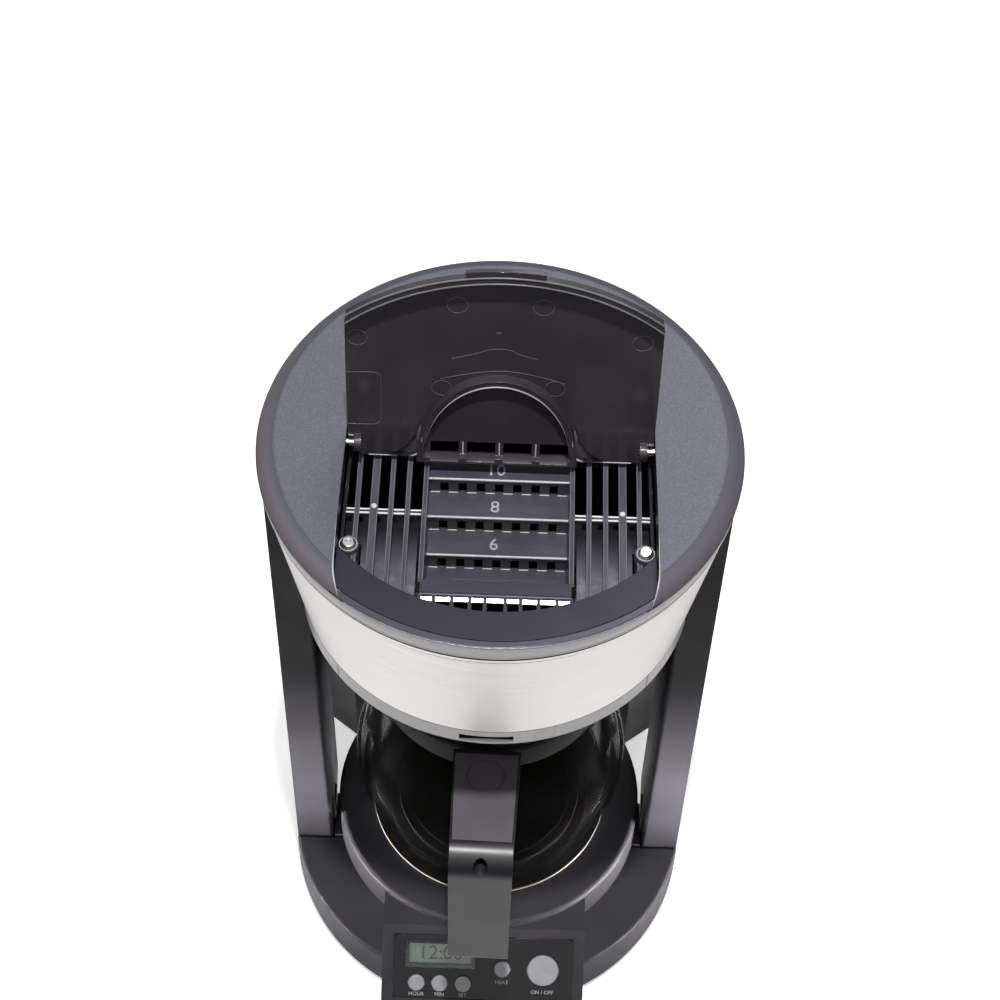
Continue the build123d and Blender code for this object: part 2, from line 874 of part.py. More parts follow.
def cold_hose():
    """Feed from the tank's outlet down the column to the heater."""
    height = floor_high + tube_radius + 0.5
    points = [
        (-tube_side, heater_end, heater_low - 0.5),
        (-tube_side, heater_end, tube_low),
        (-tube_side, tube_back, tube_low),
        (-tube_side, tube_back, height),
        (-tube_side, outlet_place(), height),
        (-tube_side, outlet_place(), tank_low - 0.5),
    ]
    return bent_tube(points, tube_bend, tube_radius, tube_bore)


def hot_hose_height():
    """Height at which the riser runs to the spray head."""
    return floor_high + 11


def heater_height():
    return warmer_low - seat_gap - heater_radius


def heating_tube():
    """Bent heating tube under the warmer plate, with a spigot at each end."""
    r = heater_reach
    z = heater_height()
    points = [
        (-tube_side, heater_end, heater_low),
        (-tube_side, heater_end, z),
        (-r, r * 0.5, z),
        (-r, -r * 0.55, z),
        (-r * 0.5, -r, z),
        (r * 0.5, -r, z),
        (r, -r * 0.55, z),
        (r, r * 0.5, z),
        (tube_side, heater_end, z),
        (tube_side, heater_end, heater_low),
    ]
    bends = [9, 12, 12, 12, 12, 12, 12, 9]
    tube_body = bent_tube(points, bends, heater_radius, 0)
    for side in (-1, 1):
        end = (side * tube_side, heater_end, heater_low)
        tube_body += along((180, 0, 0), end, spigot_radius, spigot_length)
    return tube_body


def check_valve():
    """One-way valve round the feed hose."""
    body = Cylinder(valve_radius, valve_length, align=BOTTOM)
    body -= Cylinder(tube_radius + 0.1, valve_length * 3)
    neck = Cylinder(valve_radius + 1, 3) - Cylinder(valve_radius - valve_groove, 3)
    body = body - Pos(0, 0, valve_length / 2) * neck
    return Pos(-tube_side, tube_back, valve_place) * body


def hose_clamps():
    """Spring clamps on the hoses' four ends."""
    bore = tube_radius + 0.1
    ring = Cylinder(bore + clamp_wall, clamp_width) - Cylinder(bore, clamp_width + 1)
    lying = Rot(90, 0, 0) * ring
    clamps = Pos(-tube_side, outlet_place(), tank_low - 4.5) * ring
    clamps += Pos(0, 16.5, hot_hose_height()) * lying
    for side in (-1, 1):
        clamps += Pos(side * tube_side, heater_end, heater_low - 4) * ring
    return clamps


def funnel_rails():
    """Two rails under the drum's floor that the funnel's flange slides in."""
    inner = funnel_flange_half + running_gap
    low = funnel_flange_low - running_gap - rail_thick
    web = block(inner, inner + rail_thick, rail_front, rail_rear, low, floor_low)
    lip = block(inner - rail_lip, inner + rail_thick, rail_front, rail_rear, low, low + rail_thick)
    stop = block(inner - 14, inner + rail_thick, rail_rear, rail_rear + 2, low, floor_low)
    one = web + lip + stop
    return both_sides(one & disc(band_foot_radius - lower_ring_wall - 0.4, low, floor_low))


def brew_funnel():
    """Funnel with its sliding flange, inner ribs and the cage over its drip stop."""
    top = funnel_flange_top
    flange = block(
        -funnel_flange_half, funnel_flange_half,
        -band_foot_radius, rail_rear - running_gap,
        funnel_flange_low, top,
    )
    flange &= disc(band_foot_radius - lower_ring_wall - 0.25, funnel_flange_low, top)
    flange -= block(-16, 16, -band_foot_radius, -78, funnel_flange_low - 1, top + 1)
    body = turned(
        (0, funnel_bottom),
        (funnel_floor_radius, funnel_bottom),
        (funnel_mouth_radius, funnel_flange_low + 0.5),
        (funnel_mouth_radius, top),
        (0, top),
    )
    hollow = turned(
        (0, funnel_floor_top),
        (funnel_floor_radius - funnel_wall, funnel_floor_top),
        (funnel_mouth_radius - funnel_wall, funnel_flange_low + 0.5),
        (funnel_mouth_radius - funnel_wall, top + 1),
        (0, top + 1),
    )
    funnel = flange + body - hollow
    lean = degrees(atan2(funnel_mouth_radius - funnel_floor_radius, funnel_flange_low - funnel_bottom))
    rib = Pos(funnel_floor_radius - funnel_wall + 0.2, 0, funnel_floor_top) * Rot(0, lean, 0) * Box(
        3, 1.4, 38, align=(Align.CENTER, Align.CENTER, Align.MIN)
    )
    for spot in PolarLocations(0, 16):
        funnel += spot * rib
    funnel -= disc(stem_radius + running_gap, funnel_bottom - 5, funnel_floor_top + 1)
    return funnel + drip_cage()


def drip_cage():
    """Bridge on three legs that holds the drip stop's spring down."""
    low = funnel_floor_top - 0.2
    top = funnel_floor_top + cage_height
    cage = disc(cage_radius, top - 2, top)
    for spot in PolarLocations(cage_radius - 0.6, 3):
        cage += Pos(0, 0, low) * spot * Box(2.4, 4, top - low, align=BOTTOM)
    return cage


def funnel_front():
    """Front of the funnel drawer, a piece of the bright ring with a finger slot."""
    strip = lower_ring_profile() & wedge(
        -90, funnel_front_angle, band_foot_radius, drum_bottom - 1, ring_top + 1
    )
    width, height = finger_slot
    middle = drum_bottom + 4.6
    return strip - block(
        finger_slot_side - width / 2, finger_slot_side + width / 2,
        -band_foot_radius - 5, -band_foot_radius / 2,
        middle - height / 2, middle + height / 2,
    )


def stopper_height():
    return funnel_floor_top + 0.1 + seal_thick


def drip_stop():
    """Plunger that the carafe's lid would push up."""
    z = stopper_height()
    plunger = disc(stopper_radius, z, z + stopper_thick)
    plunger += disc(stem_radius, z - stem_length, z)
    plunger += disc(spring_radius - spring_wire - 1, z + stopper_thick, z + stopper_thick + 4)
    tip = plunger.edges().group_by(Axis.Z)[0]
    return fillet(tip, 1.2)


def drip_seal():
    z = stopper_height()
    return tube(stopper_radius - 0.4, stem_radius + 0.1, z - seal_thick, z)


def biarc(start, start_way, end, end_way):
    """Two arcs that join two points and leave and reach them along given directions."""
    chord = end - start
    both = start_way + end_way
    bend = 2 * (1 - start_way.dot(end_way))
    slant = chord.dot(both)
    reach = (-slant + sqrt(slant ** 2 + bend * chord.dot(chord))) / bend
    joint = (start + start_way * reach + end - end_way * reach) * 0.5
    first = TangentArc(start, joint, tangent=start_way)
    return [first, TangentArc(joint, end, tangent=first % 1)]


def coil_path(radius, pitch, turns):
    """Rising coil of quarter turns, each made of two arcs."""
    edges = []
    rise = pitch / (2 * pi * radius)
    steps = 4 * turns
    for index in range(steps):
        places = []
        for angle in (index * pi / 2, (index + 1) * pi / 2):
            spot = Vector(radius * cos(angle), radius * sin(angle), pitch * angle / (2 * pi))
            way = Vector(-sin(angle), cos(angle), rise).normalized()
            places += [spot, way]
        edges += biarc(*places)
    return Wire(edges)


def drip_spring():
    """Coil spring between the plunger and its cage, as one unbroken wire."""
    low = stopper_height() + stopper_thick + spring_wire + 0.1
    high = funnel_floor_top + cage_height - 2 - spring_wire - 0.1
    pitch = (high - low) / spring_turns
    coil = coil_path(spring_radius, pitch, spring_turns)
    section = Plane(origin=coil @ 0, z_dir=coil % 0) * Circle(spring_wire)
    print("least gap between spring turns:", round(pitch - 2 * spring_wire, 2))
    return Pos(0, 0, low) * sweep(section, path=coil)


def glass_side(inset):
    """Outline of the carafe's glass, moved in by an inset, from its foot to its rim."""
    foot = warmer_top + inset
    belly = glass_belly_radius - inset
    neck = glass_neck_radius - inset
    low_turn = (belly - 2.5, 0, foot + 27 - inset)
    shoulder = (belly - 5, 0, glass_belly_height + 24)
    throat = (neck, 0, glass_neck_height)
    return [
        Line((0, 0, foot), (glass_foot_radius, 0, foot)),
        ThreePointArc((glass_foot_radius, 0, foot), (belly - 12.5, 0, foot + 8), low_turn),
        ThreePointArc(low_turn, (belly, 0, glass_belly_height), shoulder),
        ThreePointArc(shoulder, (belly - 9.5, 0, glass_belly_height + 45), throat),
        Line(throat, (neck, 0, glass_rim_height)),
    ]


def carafe_glass():
    def filled(inset, rim):
        edges = glass_side(inset)
        edges += [
            Line((glass_neck_radius - inset, 0, glass_rim_height), (glass_neck_radius - inset, 0, rim)),
            Line((glass_neck_radius - inset, 0, rim), (0, 0, rim)),
            Line((0, 0, rim), (0, 0, warmer_top + inset)),
        ]
        return revolve(make_face(edges), Axis.Z, 360)

    return filled(0, glass_rim_height + 0.01) - filled(glass_wall, glass_rim_height + 5)


def carafe_collar():
    """Moulded collar round the glass's neck, with a pouring lip and a root for the handle."""
    inner = glass_neck_radius + seat_gap
    outer = inner + collar_wall
    over = glass_neck_radius - glass_wall
    collar = turned(
        (inner, collar_low),
        (outer, collar_low),
        (outer, collar_top - 1),
        (outer - 1, collar_top),
        (over, collar_top),
        (over, glass_rim_height + seat_gap),
        (inner, glass_rim_height + seat_gap),
    )
    lip = make_face(Polyline((-14, outer - 4), (14, outer - 4), (4, outer + 9), (-4, outer + 9), close=True))
    beak = prism(lip, collar_top - 7, collar_top) - disc(outer - 2, collar_top - 8, collar_top + 1)
    root = block(-11, 11, -outer - 2, -outer + 2.5, collar_low, collar_top - 1.5)
    root -= disc(outer - 2, collar_low - 1, collar_top + 1)
    return Rot(0, 0, carafe_turn) * (collar + beak + root)


def handle_profile(shrink):
    """Side outline of the handle: a strap forward, then a grip down."""
    root = -(glass_neck_radius + seat_gap + collar_wall + 2 + seat_gap)
    front = handle_front + shrink
    rear = handle_front + handle_grip_thick - shrink
    top = handle_top - shrink
    low = handle_top - handle_thick + shrink
    foot = handle_foot + shrink
    outline = Polyline(
        (0, root, top), (0, front, top), (0, front + 3, foot), (0, rear + 4, foot),
        (0, rear, low), (0, root, low), close=True,
    )
    return make_face(outline)


def carafe_handle():
    """Strap and grip in one, narrower towards the front, with a seat for the inlay on top."""
    side = extrude(handle_profile(0), handle_root_width / 2, dir=(1, 0, 0), both=True)
    inner = (0, handle_front + handle_grip_thick, handle_top - handle_thick)
    side = fillet(side.edges().filter_by(Axis.X).sort_by_distance(inner)[0], handle_bend * 2 / 3)
    outer = (0, handle_front, handle_top)
    side = fillet(side.edges().filter_by(Axis.X).sort_by_distance(outer)[0], handle_bend)
    feet = side.edges().filter_by(Axis.X).group_by(Axis.Z)[0]
    side = fillet(feet, 4)
    root = -(glass_neck_radius + seat_gap + collar_wall + 2)
    half = handle_root_width / 2
    tip = handle_front_width / 2
    plan = make_face(Polyline(
        (-half, root + 5), (half, root + 5), (half, root - 3),
        (tip, handle_front + 9), (tip, handle_front - 5),
        (-tip, handle_front - 5), (-tip, handle_front + 9),
        (-half, root - 3), close=True,
    ))
    handle = side & prism(plan, handle_foot - 5, handle_top + 5)
    handle -= inlay_plan_solid(0.1)
    hole_height = handle_top - handle_thick / 2
    handle -= along((90, 0, 0), (0, root, hole_height), screw_hole_radius, 40)
    handle -= along((90, 0, 0), (0, root - 12, hole_height), screw_head_radius + 0.4, -handle_front)
    return Rot(0, 0, carafe_turn) * handle


def inlay_plan_solid(grow):
    """Flat inlay that fills the top of the strap."""
    root = -(glass_neck_radius + seat_gap + collar_wall + 2)
    front = handle_front + handle_bend + 1.5
    half = handle_root_width / 2 - inlay_margin + grow
    tip = handle_front_width / 2 - inlay_margin + grow
    plan = make_face(Polyline(
        (-half, root - 2.5 + grow), (half, root - 2.5 + grow), (tip, front - grow), (-tip, front - grow),
        close=True,
    ))
    return prism(plan, handle_top - inlay_thick - grow, handle_top + (5 if grow else 0))


def handle_inlay():
    ring = Cylinder(ring_radius, 1, align=BOTTOM) - Cylinder(ring_radius - 0.8, 3)
    inlay = inlay_plan_solid(0) - Pos(0, ring_place, handle_top - 0.4) * ring
    return Rot(0, 0, carafe_turn) * inlay


def handle_screw():
    root = -(glass_neck_radius + seat_gap + collar_wall + 2)
    height = handle_top - handle_thick / 2
    return Rot(0, 0, carafe_turn) * Pos(0, root - 12, height) * Rot(90, 0, 0) * screw(11.5)


def carafe_lid():
    """Twist-off lid with a plug, a brewing hole and a grip bar."""
    low = collar_top + seat_gap
    top = low + carafe_lid_plate
    plug = glass_neck_radius - glass_wall - running_gap
    lid = disc(carafe_lid_radius, low, top)
    lid += tube(plug, plug - 3, low - carafe_lid_plug, low)
    lid = fillet(lid.edges().group_by(Axis.Z)[-1], 1.2)
    width, length, rise = carafe_grip
    lid += block(-width / 2, width / 2, -length / 2, length / 2, top - 0.5, top + rise)
    lid += disc(carafe_hub, top - 0.5, top + rise)
    for spot in PolarLocations(8, 6):
        lid -= Pos(0, 0, low) * spot * Cylinder(1.5, 20)
    return lid


def plinth_front(radius, face, low, high):
    """Front part of the round plinth, ahead of the pillars."""
    return disc(radius, low, high) & block(-radius, radius, -radius, face, low, high)


def console_solid(inset):
    """Wedge-shaped console, its walls moved in by an inset."""
    outline = Polyline(
        (0, -50, base_low),
        (0, console_front + inset, base_low),
        (0, console_front + inset, console_lip - 0.5 * inset),
        (0, console_rear + 0.4 * inset, console_crest - inset),
        (0, -50, console_crest - inset),
        close=True,
    )
    return extrude(make_face(outline), console_half - inset, dir=(1, 0, 0), both=True)


def panel_plane():
    """Plane on the console's sloping face, its Y axis up the slope."""
    run = console_front - console_rear
    fall = console_lip - console_crest
    length = hypot(run, fall)
    normal = (0, fall / length, -run / length)
    middle = (0, (console_front + console_rear) / 2, (console_lip + console_crest) / 2)
    return Plane(origin=middle, x_dir=(1, 0, 0), z_dir=normal)


def base_solid(inset):
    """Outer form of the base, with its walls moved in by an inset."""
    face = pillar_front - seat_gap - inset
    body = disc(base_radius - inset, base_low, base_top - inset)
    if not inset:
        body = fillet(body.edges().group_by(Axis.Z)[-1], base_edge)
    plinth = plinth_front(plinth_radius - inset, face, base_low, plinth_top - inset)
    if not inset:
        plinth = fillet(plinth.edges().group_by(Axis.Z)[-1], 1.5)
    body += plinth
    body += block(
        -web_half + inset, web_half - inset,
        pillar_front + inset, web_rear - inset,
        base_low, web_top - inset,
    )
    bridge_outer = column_inner_radius - seat_gap if not inset else column_inner_radius + 2
    shrink = degrees(inset / base_radius)
    body += arc_strip(bridge_outer, base_radius - 12, 90, bridge_angle - shrink, base_low, bridge_top - inset)
    return body + console_solid(inset)


def base_housing():
    """Hollow moulded base with posts for its screws and a seat for the control panel."""
    housing = base_solid(0) - base_solid(base_wall)
    housing -= disc(warmer_hole, base_top - 10, base_top + 10)
    plane = panel_plane()
    seat = Box(panel_width + 2 * seat_gap, panel_height + 2 * seat_gap, 2 * panel_thick)
    housing -= plane * seat
    hole = Box(panel_width - 2 * panel_margin, panel_height - 2 * panel_margin, 12)
    housing -= plane * hole
    for x, y in base_posts():
        housing += post(x, y, base_top - base_wall + 0.5)
    return housing


def base_posts():
    p = base_post_place
    return [(-p, -p), (p, -p), (-p, p), (p, p)]


def post(x, y, top):
    """Round post with a screw hole from below."""
    body = Pos(x, y, base_low) * Cylinder(post_radius, top - base_low, align=BOTTOM)
    return body - Pos(x, y, base_low - 1) * Cylinder(screw_shank_radius + pin_gap, 14, align=BOTTOM)


def pillar_posts():
    reach = pillar_radius - 10.6
    return [(-reach, 10.0), (reach, 10.0)]


def column_posts():
    reach = (column_inner_radius + column_radius) / 2
    turn = radians(24)
    return [(-reach * sin(turn), reach * cos(turn)), (reach * sin(turn), reach * cos(turn))]


def screw_places():
    return base_posts() + pillar_posts() + column_posts()


def foot_places():
    rear = (column_inner_radius + column_radius) / 2 - 2
    turn = radians(33)
    return [
        (-60.0, -72.0), (60.0, -72.0),
        (-rear * sin(turn), rear * cos(turn)), (rear * sin(turn), rear * cos(turn)),
    ]


def bottom_cover():
    """Plate that closes the base and carries the pillars and the column."""
    low = foot_height
    high = base_low
    plate = disc(base_radius - 0.4, low, high)
    plate += plinth_front(plinth_radius - 0.4, pillar_front, low, high)
    plate += disc(pillar_radius - 0.3, low, high) & block(
        -pillar_radius, pillar_radius, pillar_front - 1, web_rear, low, high
    )
    for side in (-1, 1):
        plate += pillar_plan(side, 0) & disc(pillar_radius - 0.3, low, high)
    plate += arc_strip(column_radius - 0.6, column_inner_radius, 90, column_angle - 0.3, low, high)
    plate += arc_strip(column_inner_radius + 2, base_radius - 12, 90, bridge_angle, low, high)
    plate += block(-console_half + 0.4, console_half - 0.4, console_front + 0.4, -70, low, high)
    for x, y in screw_places():
        plate -= Pos(x, y, low - 1) * Cylinder(screw_hole_radius, 6, align=BOTTOM)
    for x, y in foot_places():
        plate -= Pos(x, y, low - 1) * Cylinder(3.1, 6, align=BOTTOM)
    return plate


def rubber_feet():
    feet = None
    for x, y in foot_places():
        pad = Cylinder(foot_radius, foot_height, align=BOTTOM)
        pad = chamfer(pad.edges().group_by(Axis.Z)[0], 0.8)
        plug = Cylinder(3.0, base_low - 0.1, align=BOTTOM)
        foot = Pos(x, y, 0) * (pad + plug)
        feet = foot if feet is None else feet + foot
    return feet


def bottom_screws():
    screws = None
    for x, y in screw_places():
        one = Pos(x, y, foot_height) * Rot(180, 0, 0) * screw(12)
        screws = one if screws is None else screws + one
    return screws


def pillar_plan(side, inset):
    """Slab of the pillar's plan at the foot, as tall as the cover plate."""
    front, rear = pillar_foot_inner
    corners = [
        (side * (front + inset), pillar_front + inset),
        (side * pillar_blank, pillar_front + inset),
        (side * pillar_blank, pillar_rear - inset),
        (side * (rear + inset), pillar_rear - inset),
    ]
    return prism(make_face(Polyline(*corners, close=True)), foot_height, base_low)


def pillar_loft(inset, low, high):
    """Right pillar before its outer face is rounded, walls moved in by an inset."""

    def section(height):
        share = (height - base_low) / (pillar_top - base_low)
        front = pillar_foot_inner[0] + share * (pillar_head_inner[0] - pillar_foot_inner[0]) + inset
        rear = pillar_foot_inner[1] + share * (pillar_head_inner[1] - pillar_foot_inner[1]) + inset
        outline = Polyline(
            (front, pillar_front + inset),
            (pillar_blank, pillar_front + inset),
            (pillar_blank, pillar_rear - inset),
            (rear, pillar_rear - inset),
            close=True,
        )
        return Pos(0, 0, height) * make_face(outline)

    return loft([section(low), section(high)], ruled=True)


def right_pillar():
    """Upright beside the carafe, hollow up to the drum and cut to the drum's cone."""
    body = pillar_loft(0, base_low, pillar_top)
    uprights = body.edges().sort_by_distance((pillar_foot_inner[0] + 1.5, pillar_front, pillar_top / 2))
    body = fillet(uprights[0], pillar_edge)
    body &= disc(pillar_radius, base_low, pillar_top)
    body -= drum_space(seat_gap + 0.1)
    hollow = pillar_loft(pillar_wall, base_low - 1, pillar_hollow_top)
    body -= hollow & disc(pillar_radius - pillar_wall, base_low - 1, pillar_hollow_top)
    x, y = pillar_posts()[1]
    rib = block(pillar_foot_inner[0] + 1, pillar_radius - 3, y - 4, y + 4, base_low, base_low + 22)
    body += rib & disc(pillar_radius - 1, base_low, base_low + 22)
    return body - Pos(x, y, base_low - 1) * Cylinder(screw_shank_radius + pin_gap, 14, align=BOTTOM)


def left_pillar():
    return mirror(right_pillar(), Plane.YZ)


def rear_column():
    """Hollow crescent behind the carafe, open at the back, that embraces the drum."""
    outer = column_radius - seat_gap
    body = arc_strip(outer, column_inner_radius, 90, column_angle, base_low, column_top)
    body += arc_strip(
        column_inner_radius + 1, band_foot_radius - 4,
        90, column_angle,
        drum_bottom, embrace_top,
    )
    body -= drum_space(seat_gap + 0.1)
    hollow_angle = column_cover_angle + degrees(seat_gap / column_radius)
    hollow = arc_strip(
        column_radius + 5, column_inner_radius + column_wall, 90, hollow_angle,
        base_low + column_wall, column_top - column_wall,
    )
    body -= hollow
    gate = block(
        -tube_side - 8, tube_side + 8,
        column_inner_radius - 5, column_inner_radius + 6,
        base_low + column_wall, bridge_top - base_wall,
    )
    window = block(
        -tube_side - 9, tube_side + 9,
        band_foot_radius - 20, column_inner_radius + 6,
        floor_high, hot_hose_height() + tube_radius + 3,
    )
    body = body - gate - window
    for x, y in column_posts():
        pad = Pos(x, y, base_low) * Cylinder(post_radius, 16, align=BOTTOM)
        body += pad
        body -= Pos(x, y, base_low - 1) * Cylinder(screw_shank_radius + pin_gap, 14, align=BOTTOM)
    for place in cover_screws_places():
        reach = column_radius - column_cover - seat_gap - column_inner_radius - 1
        pad = Cylinder(screw_head_radius + 0.4, reach, align=BOTTOM)
        pad -= Pos(0, 0, 3) * Cylinder(screw_shank_radius + pin_gap, reach, align=BOTTOM)
        body += place * Pos(column_inner_radius + 1, 0, 0) * Rot(0, 90, 0) * pad
    return body


def cover_screws_places():
    """Frames on the column's axis, turned to each screw's azimuth."""
    return [
        Pos(0, 0, height) * Rot(0, 0, azimuth)
        for height in cover_screw_heights
        for azimuth in (90 - cover_screw_angle, 90 + cover_screw_angle)
    ]


def rear_cover():
    """Curved panel that closes the column's back."""
    panel = arc_strip(
        column_radius, column_radius - column_cover, 90, column_cover_angle,
        base_low + column_wall + seat_gap, column_top - column_wall - seat_gap,
    )
    for place in cover_screws_places():
        panel -= place * Pos(column_radius - 6, 0, 0) * Rot(0, 90, 0) * Cylinder(screw_hole_radius, 20)
        panel -= place * Pos(column_radius - 0.9, 0, 0) * Rot(0, 90, 0) * Cylinder(
            screw_head_radius + 0.3, 4, align=BOTTOM
        )
    hole = along((-90, 0, 0), (0, column_radius - 10, bushing_height), bushing_radius - 1.4, 30)
    return panel - hole


def cover_screws():
    screws = None
    for place in cover_screws_places():
        one = place * Pos(column_radius - 0.9, 0, 0) * Rot(0, 90, 0) * screw(9)
        screws = one if screws is None else screws + one
    return screws


def cord_bushing():
    """Bushing in the rear cover where a power lead enters."""
    start = column_radius - column_cover - 3
    z = bushing_height
    neck = along((-90, 0, 0), (0, start, z), bushing_radius - 1.6, column_radius + bushing_proud - start)
    rim = along((-90, 0, 0), (0, column_radius + 0.05, z), bushing_radius, bushing_proud)
    back = along((-90, 0, 0), (0, start, z), bushing_radius, 2.2)
    bore = along((-90, 0, 0), (0, start - 1, z), bushing_bore, 30)
    return neck + rim + back - bore


def warmer_gasket():
    return tube(warmer_radius, warmer_hole, base_top, warmer_low)


def warmer_plate():
    """Coated plate with a raised middle that the carafe stands on."""
    plate = disc(warmer_radius, warmer_low, warmer_top - warmer_step)
    plate += disc(warmer_step_radius, warmer_low, warmer_top)
    return chamfer(plate.edges().group_by(Axis.Z)[-1], 0.5)


def thermostat():
    """Round thermostat on the plate's underside with its two blades."""
    can = disc(8.5, warmer_low - 6, warmer_low)
    can += disc(6.0, warmer_low - 10, warmer_low - 6)
    for side in (-1, 1):
        x = side * 3.2
        can += block(x - 0.4, x + 0.4, -2.4, 2.4, warmer_low - 17, warmer_low - 9.5)
    return can


def button_plane(name):
    x, y, radius = button_places[name]
    return panel_plane() * Pos(x, y, 0), radius


def control_panel():
    """Panel on the console with holes for the buttons, a window seat and board posts."""
    plane = panel_plane()
    panel = Pos(0, 0, -panel_thick) * Box(panel_width, panel_height, panel_thick, align=BOTTOM)
    corners = panel.edges().filter_by(Axis.Z)
    panel = fillet(corners, 3)
    for x, y, radius in button_places.values():
        panel -= Pos(x, y, 0) * Cylinder(radius + running_gap, 10)
    wx, wy = window_place
    seat = Box(window_width + 0.2, window_height + 0.2, 2 * window_thick)
    opening_hole = Box(window_width - 3, window_height - 3, 20)
    panel -= Pos(wx, wy, 0) * (seat + opening_hole)
    half_x = panel_width / 2 - panel_margin - 2.2
    half_y = panel_height / 2 - panel_margin - 2.2
    for x in (-half_x, half_x):
        for y in (-half_y, half_y):
            panel += Pos(x, y, -board_drop) * Cylinder(2.0, board_drop - panel_thick + 0.5, align=BOTTOM)
    return plane * panel


def display_window():
    wx, wy = window_place
    window = Pos(wx, wy, -window_thick) * Box(window_width, window_height, window_thick, align=BOTTOM)
    return panel_plane() * window


def display_module():
    wx, wy = window_place
    height = board_drop - panel_thick - seat_gap
    module = Pos(wx, wy, -board_drop) * Box(window_width - 4, window_height - 4, height, align=BOTTOM)
    return panel_plane() * module


def circuit_board():
    width = panel_width - 2 * panel_margin - 1
    height = panel_height - 2 * panel_margin - 1
    board = Pos(0, 0, -board_drop - board_thick) * Box(width, height, board_thick, align=BOTTOM)
    return panel_plane() * board


def button_switches():
    """Small push switches on the board, one under each button."""
    switches = None
    for x, y, radius in button_places.values():
        body = Pos(x, y, -board_drop) * Box(5, 5, switch_height - 0.5, align=BOTTOM)
        body += Pos(x, y, -board_drop) * Cylinder(1.6, switch_height, align=BOTTOM)
        switches = body if switches is None else switches + body
    return panel_plane() * switches


def button(name):
    """Round cap with a flange under the panel and a short stem over its switch."""
    x, y, radius = button_places[name]
    cap = Pos(0, 0, -panel_thick - 0.4) * Cylinder(radius, panel_thick + 0.4 + button_proud, align=BOTTOM)
    cap = fillet(cap.edges().group_by(Axis.Z)[-1], 0.6)
    flange = Pos(0, 0, -panel_thick - 0.4 - button_flange)
    cap += flange * Cylinder(radius + 1.3, button_flange, align=BOTTOM)
    stem_low = -board_drop + switch_height + button_travel + 0.3
    cap += Pos(0, 0, stem_low) * Cylinder(1.8, -panel_thick - stem_low, align=BOTTOM)
    return panel_plane() * (Pos(x, y, 0) * cap)


nodes = {
    "base_housing": base_housing,
    "bottom_cover": bottom_cover,
    "rubber_feet": rubber_feet,
    "bottom_screws": bottom_screws,
    "warmer_gasket": warmer_gasket,
    "warmer_plate": warmer_plate,
    "heating_tube": heating_tube,
    "thermostat": thermostat,
    "control_panel": control_panel,
    "display_window": display_window,
    "display_module": display_module,
    "circuit_board": circuit_board,
    "button_switches": button_switches,
    "left_pillar": left_pillar,
    "right_pillar": right_pillar,
    "rear_column": rear_column,
    "rear_cover": rear_cover,
    "cover_screws": cover_screws,
    "cord_bushing": cord_bushing,
    "cold_hose": cold_hose,
    "hot_hose": hot_hose,
    "check_valve": check_valve,
    "hose_clamps": hose_clamps,
    "drum_chassis": drum_chassis,
    "steel_band": steel_band,
    "upper_trim_ring": upper_trim_ring,
    "lower_trim_ring": lower_trim_ring,
    "water_tank": water_tank,
    "top_cover": top_cover,
    "pour_insert": pour_insert,
    "level_steps": level_steps,
    "insert_screws": insert_screws,
    "lid_pins": lid_pins,
    "top_lid": top_lid,
    "spray_head": spray_head,
    "funnel_rails": funnel_rails,
    "brew_funnel": brew_funnel,
    "funnel_front": funnel_front,
    "drip_stop": drip_stop,
    "drip_seal": drip_seal,
    "drip_spring": drip_spring,
    "carafe_glass": carafe_glass,
    "carafe_collar": carafe_collar,
    "carafe_handle": carafe_handle,
    "handle_inlay": handle_inlay,
    "handle_screw": handle_screw,
    "carafe_lid": carafe_lid,
}

os.makedirs("parts", exist_ok=True)
for name, make in nodes.items():
    export_step(make(), f"parts/{name}.step")
for name in button_places:
    export_step(button(name), f"parts/{name}.step")
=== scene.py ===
"""Looks of a drum-topped drip coffee maker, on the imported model's frame, in metres."""
import math

import bmesh
import bpy
from mathutils import Matrix, Vector


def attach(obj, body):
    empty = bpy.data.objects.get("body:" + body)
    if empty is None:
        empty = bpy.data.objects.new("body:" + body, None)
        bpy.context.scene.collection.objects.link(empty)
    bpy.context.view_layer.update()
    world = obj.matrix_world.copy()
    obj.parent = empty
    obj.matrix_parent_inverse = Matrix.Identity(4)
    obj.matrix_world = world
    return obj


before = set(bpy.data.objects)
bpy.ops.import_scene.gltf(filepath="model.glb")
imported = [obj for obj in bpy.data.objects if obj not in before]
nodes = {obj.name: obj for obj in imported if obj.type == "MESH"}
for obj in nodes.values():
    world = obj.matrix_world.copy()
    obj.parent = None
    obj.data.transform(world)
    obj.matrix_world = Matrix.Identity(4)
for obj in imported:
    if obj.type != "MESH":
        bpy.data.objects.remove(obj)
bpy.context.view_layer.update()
MM = 0.001

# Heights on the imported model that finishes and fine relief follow, in mm
RIM_HEIGHT = 352.0
CROWN_TOP = 359.5
RIB_TOP = 343.0
HINGE = (-4.5, 355.45)  # the lid's hinge: y and height
OPEN_ANGLE = 96
LID_DEPTH = 1.55  # from the hinge's axis to the lid's inner face
CONSOLE_EDGE = (-96, 36)  # middle of the console's face: y and height
CONSOLE_SLOPE = (28, 32)  # rise and run of that face

# What the limits of a colour zone are measured along: the three axes, the distance from the
# drum's axis, all in mm, and a blotchy noise from 0 to 1
ACROSS, DEEP, HIGH, REACH, BLOTCHES = range(5)

# A Mix node's two colour inputs and its colour output
FIRST, SECOND, MIXED = 6, 7, 2

# Sizes in mm: clouds that handling leaves on a moulding, pale blots on the ramps, and the
# radius of an edge as a mould leaves it, on most pieces and on the drum's crown
CLOUD = 28.0
BLOT = 7.0
EDGE = 0.35
CROWN_EDGE = 0.5


# Camera


